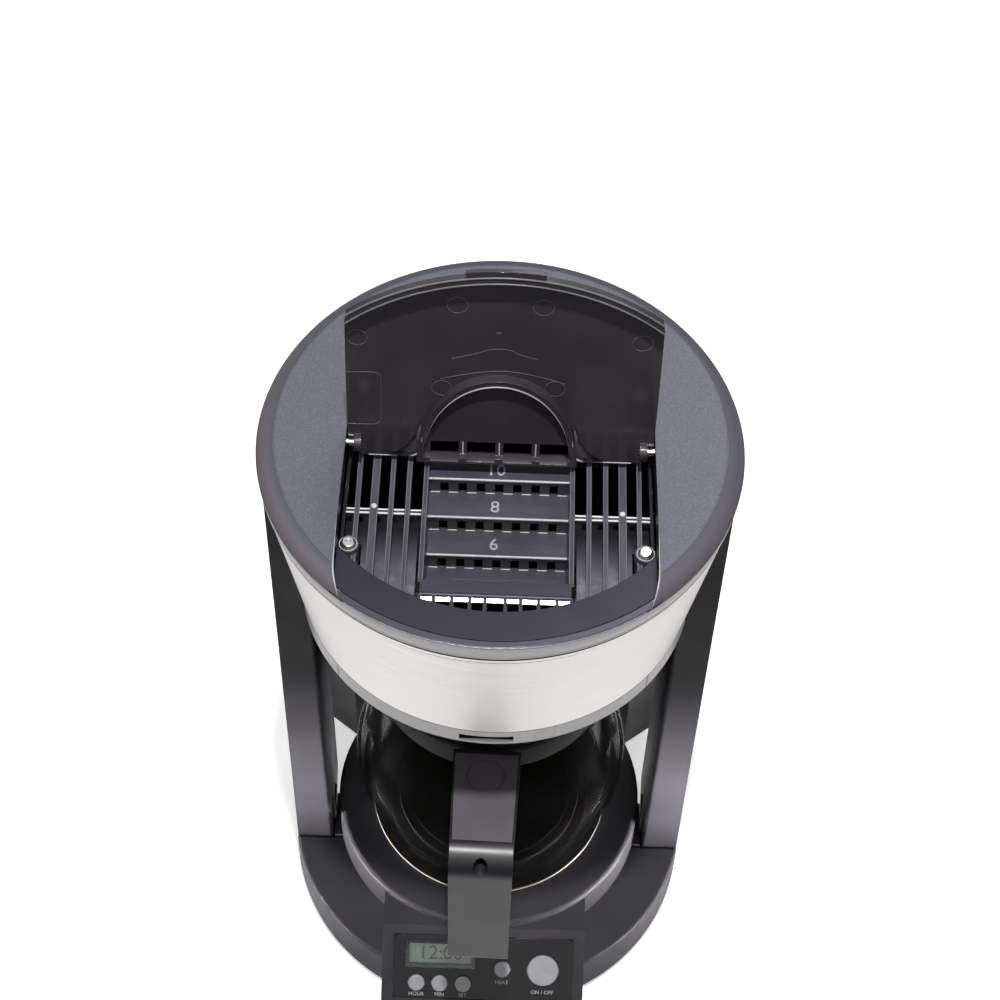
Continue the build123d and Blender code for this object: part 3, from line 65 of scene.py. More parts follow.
def place_camera():
    """High in front of the drum and turned very slightly, as the photograph was taken."""
    data = bpy.data.cameras.new("camera")
    data.lens = 81.0
    data.sensor_width = 36.0
    data.clip_start = 0.01
    data.clip_end = 60.0
    camera = bpy.data.objects.new("camera", data)
    bpy.context.scene.collection.objects.link(camera)
    spot = (0.000566, -0.59883, 1.11137)
    back = Vector((0.0, -0.59934, 0.80049)).normalized()
    right = Vector((0.99940, 0.02766, 0.02071)).normalized()
    up = back.cross(right).normalized()
    turn = Matrix((right, up, back)).transposed().to_4x4()
    camera.matrix_world = Matrix.Translation(spot) @ turn
    bpy.context.scene.camera = camera


# Materials


def linear(text):
    """An sRGB hex colour as a linear colour with an alpha of 1."""
    shares = [int(text[i : i + 2], 16) / 255 for i in (1, 3, 5)]
    parts = [c / 12.92 if c <= 0.04045 else ((c + 0.055) / 1.055) ** 2.4 for c in shares]
    return (*parts, 1.0)


def add(tree, kind, inputs=None, **settings):
    """Adds a node, makes its settings, and fills or links its inputs."""
    node = tree.nodes.new(kind)
    for name, value in settings.items():
        setattr(node, name, value)
    for name, value in (inputs or {}).items():
        if isinstance(value, bpy.types.NodeSocket):
            tree.links.new(value, node.inputs[name])
        else:
            node.inputs[name].default_value = value
    return node


def new_material(name):
    """An empty material, its node tree and its Object coordinates."""
    material = bpy.data.materials.new(name)
    material.use_nodes = True
    tree = material.node_tree
    tree.nodes.clear()
    return material, tree, add(tree, "ShaderNodeTexCoord").outputs["Object"]


def finish_surface(tree, inputs):
    """Ends a material in one Principled surface."""
    shader = add(tree, "ShaderNodeBsdfPrincipled", inputs)
    add(tree, "ShaderNodeOutputMaterial", {"Surface": shader.outputs[0]})


def zone_mix(tree, where, colour, zones):
    """Changes a colour by place. A zone has its colour and its limits: each limit says what it
    is measured along and where the change starts and ends."""
    parts = add(tree, "ShaderNodeSeparateXYZ", {"Vector": where}).outputs
    blotted = {"Vector": where, "Scale": 1 / (BLOT * MM), "Detail": 5.0}
    blots = add(tree, "ShaderNodeTexNoise", blotted).outputs["Fac"]
    flat = add(tree, "ShaderNodeCombineXYZ", {"X": parts[0], "Y": parts[1]}).outputs[0]
    reach = add(tree, "ShaderNodeVectorMath", {0: flat}, operation="LENGTH").outputs["Value"]
    places = [parts[0], parts[1], parts[2], reach, blots]
    for shade, *limits in zones:
        share = None
        for along, start, end in limits:
            unit = 1 if along == BLOTCHES else MM
            limit = {"Value": places[along], "From Min": start * unit, "From Max": end * unit}
            part = add(tree, "ShaderNodeMapRange", limit).outputs[0]
            if share is None:
                share = part
            else:
                both = add(tree, "ShaderNodeMath", {0: share, 1: part}, operation="MULTIPLY")
                share = both.outputs[0]
        mix = {"Factor": share, FIRST: colour, SECOND: linear(shade)}
        colour = add(tree, "ShaderNodeMix", mix, data_type="RGBA").outputs[MIXED]
    return colour


def moulded(name, dark, light, roughness, grain=0.5, depth=0.02, shine=0.5, zones=()):
    """Injection-moulded plastic. The tool leaves a grain of a given size and depth in mm, and
    handling leaves the gloss and the colour a little cloudy."""
    material, tree, where = new_material(name)
    grained = {"Vector": where, "Scale": 1 / (grain * MM), "Detail": 3.0}
    fine = add(tree, "ShaderNodeTexNoise", grained).outputs["Fac"]
    clouded = {"Vector": where, "Scale": 1 / (CLOUD * MM), "Detail": 2.0}
    clouds = add(tree, "ShaderNodeTexNoise", clouded).outputs["Fac"]
    tones = {"Value": clouds, "From Min": 0.35, "From Max": 0.65}
    share = add(tree, "ShaderNodeMapRange", tones).outputs[0]
    mix = {"Factor": share, FIRST: linear(dark), SECOND: linear(light)}
    colour = add(tree, "ShaderNodeMix", mix, data_type="RGBA").outputs[MIXED]
    worn = {
        "Value": clouds,
        "From Min": 0.3,
        "From Max": 0.7,
        "To Min": roughness * 0.85,
        "To Max": roughness * 1.15,
    }
    gloss = add(tree, "ShaderNodeMapRange", worn)
    edges = add(tree, "ShaderNodeBevel", {"Radius": EDGE * MM}, samples=4).outputs[0]
    relief = {"Height": fine, "Distance": depth * MM, "Normal": edges}
    bumps = add(tree, "ShaderNodeBump", relief)
    surface = {
        "Base Color": zone_mix(tree, where, colour, zones) if zones else colour,
        "Roughness": gloss.outputs[0],
        "Normal": bumps.outputs[0],
        "Specular IOR Level": shine,
    }
    finish_surface(tree, surface)
    return material


def bare_metal(name, dark, light, roughness, grain, depth, stretch=(1.0, 1.0, 1.0)):
    """Metal without a coating. Its grain, in mm, is drawn out along an axis where it was
    brushed."""
    material, tree, where = new_material(name)
    drawn = add(tree, "ShaderNodeMapping", {"Vector": where, "Scale": stretch}).outputs[0]
    grained = {"Vector": drawn, "Scale": 1 / (grain * MM), "Detail": 3.0, "Roughness": 0.6}
    lines = add(tree, "ShaderNodeTexNoise", grained).outputs["Fac"]
    mix = {"Factor": lines, FIRST: linear(dark), SECOND: linear(light)}
    colour = add(tree, "ShaderNodeMix", mix, data_type="RGBA").outputs[MIXED]
    worn = {
        "Value": lines,
        "From Min": 0.3,
        "From Max": 0.7,
        "To Min": roughness * 0.8,
        "To Max": roughness * 1.25,
    }
    gloss = add(tree, "ShaderNodeMapRange", worn)
    bumps = add(tree, "ShaderNodeBump", {"Height": lines, "Distance": depth * MM})
    surface = {
        "Base Color": colour,
        "Metallic": 1.0,
        "Roughness": gloss.outputs[0],
        "Normal": bumps.outputs[0],
    }
    finish_surface(tree, surface)
    return material


def flake_crown():
    """Grey ABS with aluminium flake. The flat top is stippled, so single flakes catch the
    light; the shoulder below the crease is smooth and looks darker, but painted light makes it
    paler down towards its foot and paler still on the left."""
    material, tree, where = new_material("abs_metal_flake")
    crease = {
        "Value": add(tree, "ShaderNodeSeparateXYZ", {"Vector": where}).outputs[2],
        "From Min": (CROWN_TOP - 0.25) * MM,
        "From Max": (CROWN_TOP - 0.05) * MM,
    }
    flat = add(tree, "ShaderNodeMapRange", crease).outputs[0]
    # A flake is about 0.1 mm across; here it is drawn at 0.36 mm so that it shows.
    cells = add(tree, "ShaderNodeTexVoronoi", {"Vector": where, "Scale": 1 / (0.36 * MM)})
    chance = add(tree, "ShaderNodeSeparateColor", {"Color": cells.outputs["Color"]}).outputs[0]
    bright = {"Value": chance, "From Min": 0.6, "From Max": 1.0}
    spark = add(tree, "ShaderNodeMapRange", bright).outputs[0]
    shown = add(tree, "ShaderNodeMath", {0: spark, 1: flat}, operation="MULTIPLY").outputs[0]
    mix = {"Factor": shown, FIRST: linear("#54555e"), SECOND: linear("#666772")}
    flakes = add(tree, "ShaderNodeMix", mix, data_type="RGBA").outputs[MIXED]
    gloss = add(tree, "ShaderNodeMapRange", {"Value": flat, "To Min": 0.3, "To Max": 0.5})
    stippled = {"Vector": where, "Scale": 1 / (0.45 * MM), "Detail": 2.0}
    stipple = add(tree, "ShaderNodeTexNoise", stippled).outputs["Fac"]
    rise = add(tree, "ShaderNodeMath", {0: stipple, 1: flat}, operation="MULTIPLY").outputs[0]
    edges = add(tree, "ShaderNodeBevel", {"Radius": CROWN_EDGE * MM}, samples=4).outputs[0]
    bumps = add(
        tree, "ShaderNodeBump", {"Height": rise, "Distance": 0.02 * MM, "Normal": edges}
    )
    # Painted light: the shoulder grows paler down towards its foot, and paler still on the left.
    shoulder = (HIGH, CROWN_TOP - 0.6, CROWN_TOP - 4.5)
    zones = [
        ("#595861", (HIGH, CROWN_TOP - 0.05, CROWN_TOP - 0.6)),
        ("#77717a", shoulder),
        ("#837c82", shoulder, (ACROSS, 0, -80)),
        # Walls of the opening, and the hem in front of it
        ("#1a191d", (HIGH, CROWN_TOP - 0.2, CROWN_TOP - 0.4), (REACH, 98.0, 97.6)),
        ("#3f3c48", (HIGH, RIM_HEIGHT + 0.8, RIM_HEIGHT + 0.5), (DEEP, -79, -80)),
    ]
    surface = {
        "Base Color": zone_mix(tree, where, flakes, zones),
        "Metallic": 0.35,
        "Roughness": gloss.outputs[0],
        "Normal": bumps.outputs[0],
    }
    finish_surface(tree, surface)
    return material


def clear_wall(name, colour, roughness, ior, ripple, depth, gloss=0.5, cover=1.0):
    """Clear glass or acrylic with the slight waves of blowing or moulding, in mm. A thin wall
    hardly bends what is behind it, so its cover can be less than 1."""
    material, tree, where = new_material(name)
    rippled = {"Vector": where, "Scale": 1 / (ripple * MM), "Detail": 1.0}
    waves = add(tree, "ShaderNodeTexNoise", rippled).outputs["Fac"]
    bumps = add(tree, "ShaderNodeBump", {"Height": waves, "Distance": depth * MM})
    surface = {
        "Base Color": linear(colour),
        "Roughness": roughness,
        "IOR": ior,
        "Transmission Weight": 1.0,
        "Specular IOR Level": gloss,
        "Alpha": cover,
        "Normal": bumps.outputs[0],
    }
    finish_surface(tree, surface)
    return material


def dress(material, *names):
    """Gives CAD nodes a material."""
    for name in names:
        slots = nodes[name].data.materials
        slots.clear()
        slots.append(material)


# Pieces that the CAD leaves to the scene, in millimetres until they are settled

LEVEL = Matrix.Scale(MM, 4)
# The open lid's inner face: x across, y up the face from the hinge, z out of the face.
LID_FACE = (
    LEVEL
    @ Matrix.Translation((0, *HINGE))
    @ Matrix.Rotation(math.radians(-OPEN_ANGLE), 4, "X")
    @ Matrix.Translation((0, 0, LID_DEPTH))
    @ Matrix.Rotation(math.pi, 4, "X")
)
# The same face for bars that stand up it: a bar's own x runs up the lid.
LID_UPRIGHT = LID_FACE @ Matrix(((0, 0, 1, 0), (1, 0, 0, 0), (0, 1, 0, 0), (0, 0, 0, 1)))
# The console's sloping face: x across, y up the slope, z out of it.
CONSOLE_FACE = (
    LEVEL
    @ Matrix.Translation((0, *CONSOLE_EDGE))
    @ Matrix.Rotation(math.atan2(*CONSOLE_SLOPE), 4, "X")
)


def settle(name, mesh, place, body, material, smooth=True):
    """Makes a mesh a piece: in its place, with its finish, riding on a body."""
    mesh.transform(place)
    mesh.materials.clear()
    mesh.materials.append(material)
    for face in mesh.polygons:
        face.use_smooth = smooth
    piece = bpy.data.objects.new(name, mesh)
    bpy.context.scene.collection.objects.link(piece)
    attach(piece, body)


def plain_mesh(carrier):
    """What an object looks like once evaluated, as a mesh of its own; the object goes."""
    bpy.context.scene.collection.objects.link(carrier)
    view = bpy.context.evaluated_depsgraph_get()
    mesh = bpy.data.meshes.new_from_object(carrier.evaluated_get(view))
    bpy.data.objects.remove(carrier)
    return mesh


def moulded_lines(name, lines, radius, taper=False):
    """Round beads along lines; a line of more than two points is smooth and may taper."""
    thinnest = 0.12  # share of the bead that is left at a tapered end
    curve = bpy.data.curves.new(name, "CURVE")
    curve.dimensions = "3D"
    curve.bevel_depth = radius
    curve.bevel_resolution = 2
    curve.resolution_u = 6
    curve.use_fill_caps = True
    for line in lines:
        spline = curve.splines.new("NURBS")
        spline.points.add(len(line) - 1)
        for index, (point, spot) in enumerate(zip(spline.points, line)):
            point.co = (*spot, 1.0)
            if taper:
                point.radius = max(thinnest, math.sin(math.pi * index / (len(line) - 1)))
        spline.order_u = 3 if len(line) > 2 else 2
        spline.use_endpoint_u = True
    return plain_mesh(bpy.data.objects.new(name, curve))


def lettering(name, words, height, rise):
    """Plain capitals or figures of a height, raised by an amount, as one mesh."""
    shapes = bmesh.new()
    for text, x, y, z in words:
        font = bpy.data.curves.new(name, "FONT")
        font.body = text
        font.size = height / 0.72  # a capital is 0.72 of its font's size
        font.align_x = "CENTER"
        font.align_y = "CENTER"
        font.extrude = rise
        font.resolution_u = 3
        mesh = plain_mesh(bpy.data.objects.new(name, font))
        mesh.transform(Matrix.Translation((x, y, z)))
        shapes.from_mesh(mesh)
    joined = bpy.data.meshes.new(name)
    shapes.to_mesh(joined)
    shapes.free()
    return joined


def repeat_tree(name, outline):
    """Geometry nodes that set a bead on every point: a ring, or a bar along X."""
    tree = bpy.data.node_groups.new(name, "GeometryNodeTree")
    face = tree.interface
    face.new_socket("Points", in_out="INPUT", socket_type="NodeSocketGeometry")
    for label in ("Size", "Bead"):
        face.new_socket(label, in_out="INPUT", socket_type="NodeSocketFloat")
    face.new_socket("Material", in_out="INPUT", socket_type="NodeSocketMaterial")
    face.new_socket("Shape", in_out="OUTPUT", socket_type="NodeSocketGeometry")
    given = add(tree, "NodeGroupInput").outputs
    if outline == "ring":
        ring = {"Resolution": 28, "Radius": given["Size"]}
        path = add(tree, "GeometryNodeCurvePrimitiveCircle", ring)
    else:
        halves = {0: given["Size"], 1: 0.5}
        half = add(tree, "ShaderNodeMath", halves, operation="MULTIPLY").outputs[0]
        back = add(tree, "ShaderNodeMath", {0: half, 1: -1.0}, operation="MULTIPLY").outputs[0]
        start, end = [add(tree, "ShaderNodeCombineXYZ", {"X": x}).outputs[0] for x in (back, half)]
        path = add(tree, "GeometryNodeCurvePrimitiveLine", {"Start": start, "End": end})
    section = {"Resolution": 8, "Radius": given["Bead"]}
    profile = add(tree, "GeometryNodeCurvePrimitiveCircle", section).outputs[0]
    swept = {"Curve": path.outputs[0], "Profile Curve": profile, "Fill Caps": True}
    bead = add(tree, "GeometryNodeCurveToMesh", swept).outputs[0]
    placed = {"Points": given["Points"], "Instance": bead}
    copies = add(tree, "GeometryNodeInstanceOnPoints", placed).outputs[0]
    real = add(tree, "GeometryNodeRealizeInstances", {"Geometry": copies}).outputs[0]
    finish = {"Geometry": real, "Material": given["Material"]}
    dressed = add(tree, "GeometryNodeSetMaterial", finish)
    add(tree, "NodeGroupOutput", {"Shape": dressed.outputs[0]})
    return tree


def repeated(name, tree, spots, size, bead, material):
    """Runs a tree on loose points and returns the result as a plain mesh."""
    points = bpy.data.meshes.new(name)
    points.from_pydata(spots, [], [])
    carrier = bpy.data.objects.new(name, points)
    modifier = carrier.modifiers.new("repeat", "NODES")
    modifier.node_group = tree
    given = {"Size": size, "Bead": bead, "Material": material}
    for socket in tree.interface.items_tree:
        if socket.in_out == "INPUT" and socket.name in given:
            modifier[socket.identifier] = given[socket.name]
    return plain_mesh(carrier)


def on_lid(name, mesh, material, place=LID_FACE):
    """Settles fine relief on the lid's inner face."""
    settle(name, mesh, place, "lid", material)


def in_well(name, mesh, material, smooth=True):
    """Settles fine relief on the pouring insert and its steps."""
    settle(name, mesh, LEVEL, "brewer", material, smooth)


def bead_on_lid(name, lines, material, radius, taper=False):
    """Runs a bead along lines of the lid's inner face."""
    on_lid(name, moulded_lines(name, lines, radius, taper), material)


def row_in_well(name, tree, spots, material, size, bead):
    """Repeats a ring or a bar on spots of the pouring insert and its steps."""
    in_well(name, repeated(name, tree, spots, size, bead, material), material)


def dam_foot(name, side, root):
    """Flare at a foot of the splash dam, as a closed wedge between its top edge, the line where
    it meets the lid's face, and its sole. The top edge falls 1 in 6 towards the tail."""
    top_line = [(0.0, 12.0), (0.3, 5.0), (0.6, 0.0), (0.2, -4.0), (-0.4, -8.4)]
    face_line = [(0.6, 11.0), (2.6, 3.5), (6.0, -2.5), (10.5, -6.6), (16.0, -8.4)]
    middle, wall, clear = 3.2, 0.5, 0.05  # height at the middle, thickness, and gap to the face
    corners, faces = [], []
    for (a, b), (c, d) in zip(top_line, face_line):
        corners += [
            (root + side * a, b, middle + b / 6),
            (root + side * c, d, clear),
            (root + side * (a - wall), b, clear),
        ]
    for step in range(len(top_line) - 1):
        n = 3 * step
        faces += [(n, n + 1, n + 4, n + 3), (n + 1, n + 2, n + 5, n + 4), (n + 2, n, n + 3, n + 5)]
    last = len(corners) - 3
    faces += [(0, 2, 1), (last, last + 1, last + 2)]
    foot = bpy.data.meshes.new(name)
    foot.from_pydata(corners, [], faces)
    shape = bmesh.new()
    shape.from_mesh(foot)
    bmesh.ops.recalc_face_normals(shape, faces=shape.faces)
    shape.to_mesh(foot)
    shape.free()
    on_lid(name, foot, lid_abs)


def lid_details():
    """Marks of the mould on the lid's inner face, its lip, and its splash dam with the vents; most
    are pale beads that paint highlights along edges.
    """
    pins = [
        (-19.1, 79.2, 0), (15.6, 79.4, 0), (-60.1, 59.7, 0), (56.6, 61.6, 0),
        (-25.3, 32.5, 0), (21.9, 34.1, 0), (-15.0, 15.5, 0), (11.8, 16.2, 0),
    ]
    rings = repeat_tree("ejector_rings", "ring")
    marks = repeated("ejector_marks", rings, pins, size=4.2, bead=0.11, material=highlight_grey_abs)
    on_lid("ejector_marks", marks, highlight_grey_abs)
    lines = [
        [(-21.2, 49.6), (-11.8, 52.4), (-5.7, 55.6), (2.5, 55.9), (6.5, 52.6), (14.0, 50.6)],
        [(-26.0, 37.6), (-10.0, 43.2), (9.0, 43.4), (25.9, 37.2)],
        [
            (-65.2, 39.9), (-58.0, 40.2), (-52.6, 40.4), (-50.6, 38.4), (-50.7, 33.0),
            (-51.0, 16.0), (-51.0, 11.4), (-53.6, 9.6), (-58.0, 9.6), (-65.2, 9.5),
        ],
        [(-3.4, 64.8), (-0.9, 64.8)],
    ]
    lines = [[(x, y, 0) for x, y in line] for line in lines]
    bead_on_lid("lid_flow_lines", lines, highlight_grey_abs, radius=0.12)

    # The lip's two edges are arcs about the drum's axis, which is behind the hinge.
    lip_top = 3.8
    lip = []
    for radius, half in ((99.1, 64.6), (102.2, 64.4)):
        across = [step * half / 12 for step in range(-12, 13)]
        lip.append([(x, math.sqrt(radius**2 - x**2) + HINGE[0], lip_top) for x in across])
    bead_on_lid("lid_lip_edges", lip, highlight_grey_abs, radius=0.4)

    def dam_arc(low, half, height):
        middle, dam_top = -1.5, 4.0
        turns = [math.radians(a) for a in range(8, 173, 8)]
        return [(middle + half * math.cos(a), low + height * math.sin(a), dam_top) for a in turns]

    bead_on_lid("dam_edge", [dam_arc(-5.5, 31.2, 43.4)], highlight_bright_abs, radius=0.4, taper=True)
    bead_on_lid("dam_outer_edge", [dam_arc(-8.5, 34.2, 49.4)], lid_abs, radius=0.3)
    dam_foot("dam_foot_left", -1, -34.2)
    dam_foot("dam_foot_right", 1, 31.2)
    curl = [(0.0, 7.0, 4.1), (0.5, 1.0, 3.6), (1.6, -4.5, 2.6), (4.0, -7.4, 1.5), (7.6, -8.3, 0.6)]
    curls = [
        [(start + side * x, y, z) for x, y, z in curl]
        for side, start in ((-1, -33.4), (1, 30.4))
    ]
    bead_on_lid("foot_shines", curls, highlight_pale_abs, radius=0.5, taper=True)

    sill = [[(-33.0, -8.3, 0.2), (32.0, -8.3, 0.2)]]
    bead_on_lid("vent_sill", sill, highlight_pale_abs, radius=0.62)
    tail = [[(-56.5, -8.85, 0.1), (56.5, -8.85, 0.1)]]
    bead_on_lid("lid_tail_edge", tail, highlight_bright_abs, radius=0.28)
    bars = repeat_tree("vent_bars", "bar")
    spots = [(-2.7, 0.3, x) for x in (-16.1, -0.5, 15.1)]
    mullions = repeated("vent_mullions", bars, spots, size=9.4, bead=1.0, material=highlight_pale_abs)
    on_lid("vent_mullions", mullions, highlight_pale_abs, LID_UPRIGHT)


def water_well_details():
    """Bright noses of the steps and bars, figures for the cups, rims round the screws and rib
    edges, in pale colours that paint highlights.
    """
    bars = repeat_tree("step_noses", "bar")
    steps = [(-10.6, 330), (-23.6, 320), (-36.6, 310)]  # a nose's y, and the plate below it
    noses = [(0.0, y, low + 9.6) for y, low in steps] + [(0.0, -75.3, 345.6)]
    row_in_well("tread_noses", bars, noses, highlight_bright_abs, size=62.6, bead=0.6)
    dashes = [((i - 3.5) * 7.9, y - 0.1, low + 0.3) for y, low in steps for i in range(8)]
    row_in_well("riser_dashes", bars, dashes, highlight_bright_abs, size=4.1, bead=0.32)
    shines = [
        (side * x, y, RIB_TOP - 0.85)
        for side in (-1, 1)
        for x in (35.0, 42.15, 48.98, 56.8, 63.1)
        for y in (-32.0, -30.1)
    ]
    row_in_well("crossbar_shines", bars, shines, highlight_pale_abs, size=4.6, bead=0.5)

    # Each rib's place across, half its width, and the y of its front end
    ribs = [
        (60.0, 0.82, -63.0), (52.9, 1.45, -69.0), (45.7, 0.82, -74.0), (38.6, 0.82, -77.9),
        (31.4, 0.82, -65.8),
    ]
    edges = [
        [(side * (x + edge), 1.0, RIB_TOP), (side * (x + edge), front, RIB_TOP)]
        for side in (-1, 1)
        for x, half, front in ribs
        for edge in (-half, half)
    ]
    in_well("rib_edges", moulded_lines("rib_edges", edges, radius=0.24), highlight_grey_abs)
    rings = repeat_tree("screw_rims", "ring")
    gates = [(side * 52.9, -29.0, RIB_TOP + 0.1) for side in (-1, 1)]
    row_in_well("gate_marks", rings, gates, highlight_pale_abs, size=0.6, bead=0.7)
    rims = [(side * 62.3, -51.0, 345.6) for side in (-1, 1)]
    row_in_well("screw_rims", rings, rims, highlight_bright_abs, size=3.7, bead=0.24)
    cups = [("8", -18.0, 330), ("6", -30.8, 320), ("4", -47.0, 310), ("10", -5.6, 340)]
    cups = [(text, -1.5, y, plate + 0.05) for text, y, plate in cups]
    figures = lettering("cup_figures", cups, height=6.2, rise=0.1)
    in_well("cup_figures", figures, highlight_bright_abs, smooth=False)

    # Bright front edge of the slatted plate, one length between each two slats
    slats = sorted(side * x for side in (-1, 1) for x in (4.2, 10.5, 17.9, 25.4, 31.4))
    slat_half = 0.85
    outline = [(-75.6, 345.0), (-77.4, 344.3), (-77.4, 343.9), (-75.6, 344.6)]
    corners, faces = [], []
    for left, right in zip(slats, slats[1:]):
        n = len(corners)
        for y, z in outline:
            corners += [(left + slat_half, y, z), (right - slat_half, y, z)]
        for a, b in ((0, 2), (2, 4), (4, 6), (6, 0)):
            faces.append((n + a, n + b, n + b + 1, n + a + 1))
        faces += [(n, n + 6, n + 4, n + 2), (n + 1, n + 3, n + 5, n + 7)]
    strip = bpy.data.meshes.new("full_plate_strip")
    strip.from_pydata(corners, [], faces)
    in_well("full_plate_strip", strip, strip_steel, smooth=False)


def drum_details():
    """Painted highlights along edges round the drum's top, the band's bright rolled hem, and a
    painted shadow in the gap below its ring.
    """
    wing = [
        (66.85, -40.0, 359.4), (66.85, -55.0, 359.4), (66.85, -66.0, 359.4), (66.82, -70.0, 359.36),
        (66.68, -73.0, 358.8), (66.25, -76.0, 357.75), (65.67, -78.5, 356.5), (65.04, -80.5, 355.1),
        (64.48, -82.0, 353.7), (63.9, -83.3, 352.1),
    ]
    sides = [[(side * x, y, z) for x, y, z in wing] for side in (-1, 1)]
    edges = moulded_lines("wing_edges", sides, radius=0.42, taper=True)
    settle("wing_edges", edges, LEVEL, "brewer", highlight_bright_abs)

    def front_arc(name, radius, height, span, bead, material, taper=True):
        turns = [math.radians(-90 + span * (step / 20 - 1)) for step in range(41)]
        line = [(radius * math.cos(turn), radius * math.sin(turn), height) for turn in turns]
        mesh = moulded_lines(name, [line], bead, taper)
        settle(name, mesh, LEVEL, "brewer", material)

    # Each arc's radius and height, the degrees it spans each way from the front, and its bead
    # The rim's shine is a painted highlight, and the black bead in the gap a painted shadow.
    front_arc("rim_shine", 104.7, RIM_HEIGHT - 0.25, 36, 0.42, hem_and_highlight_chrome, taper=False)
    front_arc("ring_gap_painted_shadow", 103.0, 340.75, 62, 0.55, painted_shadow_black)
    front_arc("band_hem", 102.25, 337.3, 62, 0.5, hem_and_highlight_chrome)


def console_details():
    """Pale print by the buttons, and the clock's figures under the window."""
    # Each word or figure, and the place of its middle on the console's face
    words = [("HOUR", -34.0, -14.6, 0.0), ("MIN", -22.0, -14.6, 0.0), ("SET", -10.0, -14.6, 0.0)]
    words += [("HEAT", 10.0, -7.2, 0.0), ("ON / OFF", 31.0, -11.8, 0.0)]
    clock = [("12:00", -22.0, 6.5, -2.26)]
    for name, text, height, slot, ink in (
        ("console_print", words, 2.0, "button_silver", pale_ink),
        ("clock_figures", clock, 7.5, "display_grey", crystal_black),
    ):
        mesh = lettering(name, text, height, rise=0.04)
        settle(name, mesh, CONSOLE_FACE, "brewer", ink, smooth=False)


# Studio


def paper_floor():
    """White paper. The camera, gloss and glass see it lit from within as well, so that it is
    white round the object and still holds the object's shadow."""
    half = 14.0
    mesh = bpy.data.meshes.new("floor")
    corners = [(-half, -half, 0), (half, -half, 0), (half, half, 0), (-half, half, 0)]
    mesh.from_pydata(corners, [], [(0, 1, 2, 3)])
    floor = bpy.data.objects.new("floor", mesh)
    bpy.context.scene.collection.objects.link(floor)
    material, tree, where = new_material("matt_studio_paper")
    white = linear("#ffffff")
    rays = add(tree, "ShaderNodeLightPath").outputs
    seen = rays["Is Camera Ray"]
    for ray in ("Is Glossy Ray", "Is Transmission Ray"):
        seen = add(tree, "ShaderNodeMath", {0: seen, 1: rays[ray]}, operation="MAXIMUM").outputs[0]
    # Near the object this glow and the lamps' light add up to white; far out the glow is all.
    reach = add(tree, "ShaderNodeVectorMath", {0: where}, operation="LENGTH").outputs["Value"]
    fade = {"Value": reach, "From Min": 0.6, "From Max": 1.0, "To Min": 0.54}
    level = add(tree, "ShaderNodeMapRange", fade).outputs[0]
    power = add(tree, "ShaderNodeMath", {0: seen, 1: level}, operation="MULTIPLY").outputs[0]
    paper = add(tree, "ShaderNodeBsdfDiffuse", {"Color": linear("#eeeeee")}).outputs[0]
    glow = add(tree, "ShaderNodeEmission", {"Color": white, "Strength": power}).outputs[0]
    lit = add(tree, "ShaderNodeAddShader", {0: paper, 1: glow}).outputs[0]
    # Gloss shows plain white paper near the object; further out it shows the unlit room.
    glossy = rays["Is Glossy Ray"]
    shine = add(tree, "ShaderNodeEmission", {"Color": white, "Strength": 1.0}).outputs[0]
    near = add(tree, "ShaderNodeMixShader", {0: glossy, 1: lit, 2: shine}).outputs[0]
    away = {"Value": reach, "From Min": 0.24, "From Max": 0.5}
    far = add(tree, "ShaderNodeMapRange", away).outputs[0]
    dim = add(tree, "ShaderNodeMath", {0: far, 1: glossy}, operation="MULTIPLY").outputs[0]
    # Most of the light that the paper would throw up at the object is held back.
    held_back, unlit = 0.7, 0.12
    held = {0: rays["Is Diffuse Ray"], 1: held_back}
    bounce = add(tree, "ShaderNodeMath", held, operation="MULTIPLY").outputs[0]
    dim = add(tree, "ShaderNodeMath", {0: dim, 1: bounce}, operation="MAXIMUM").outputs[0]
    dark = add(tree, "ShaderNodeEmission", {"Color": white, "Strength": unlit}).outputs[0]
    mixed = add(tree, "ShaderNodeMixShader", {0: dim, 1: near, 2: dark})
    add(tree, "ShaderNodeOutputMaterial", {"Surface": mixed.outputs[0]})
    mesh.materials.append(material)


def white_room():
    """The camera and glass see white. Gloss sees a room that is bright above and dim at the
    level of the eye, and everything else gets a low, even light. Inputs 2 and 3 of a Mix node
    are the two strengths that it chooses between."""
    world = bpy.data.worlds.new("white_room")
    world.use_nodes = True
    tree = world.node_tree
    tree.nodes.clear()
    rays = add(tree, "ShaderNodeLightPath").outputs
    both = {0: rays["Is Camera Ray"], 1: rays["Is Transmission Ray"]}
    seen = add(tree, "ShaderNodeMath", both, operation="MAXIMUM").outputs[0]
    view = add(tree, "ShaderNodeTexCoord").outputs["Generated"]
    up = add(tree, "ShaderNodeSeparateXYZ", {"Vector": view}).outputs[2]
    even, dimmest = 0.3, 0.15  # the even light, and what gloss sees at the level of the eye
    above = {"Value": up, "From Min": 0.1, "From Max": 0.75}
    lit = add(tree, "ShaderNodeMapRange", above).outputs[0]
    room = {"Value": lit, "To Min": dimmest, "To Max": 1.0}
    mirrored = add(tree, "ShaderNodeMapRange", room).outputs[0]
    soft = add(tree, "ShaderNodeMix", {0: rays["Is Glossy Ray"], 2: even, 3: mirrored}).outputs[0]
    power = add(tree, "ShaderNodeMix", {0: seen, 2: soft, 3: 1.0}).outputs[0]
    glow = {"Color": linear("#ffffff"), "Strength": power}
    background = add(tree, "ShaderNodeBackground", glow)
    add(tree, "ShaderNodeOutputWorld", {"Surface": background.outputs[0]})
    bpy.context.scene.world = world


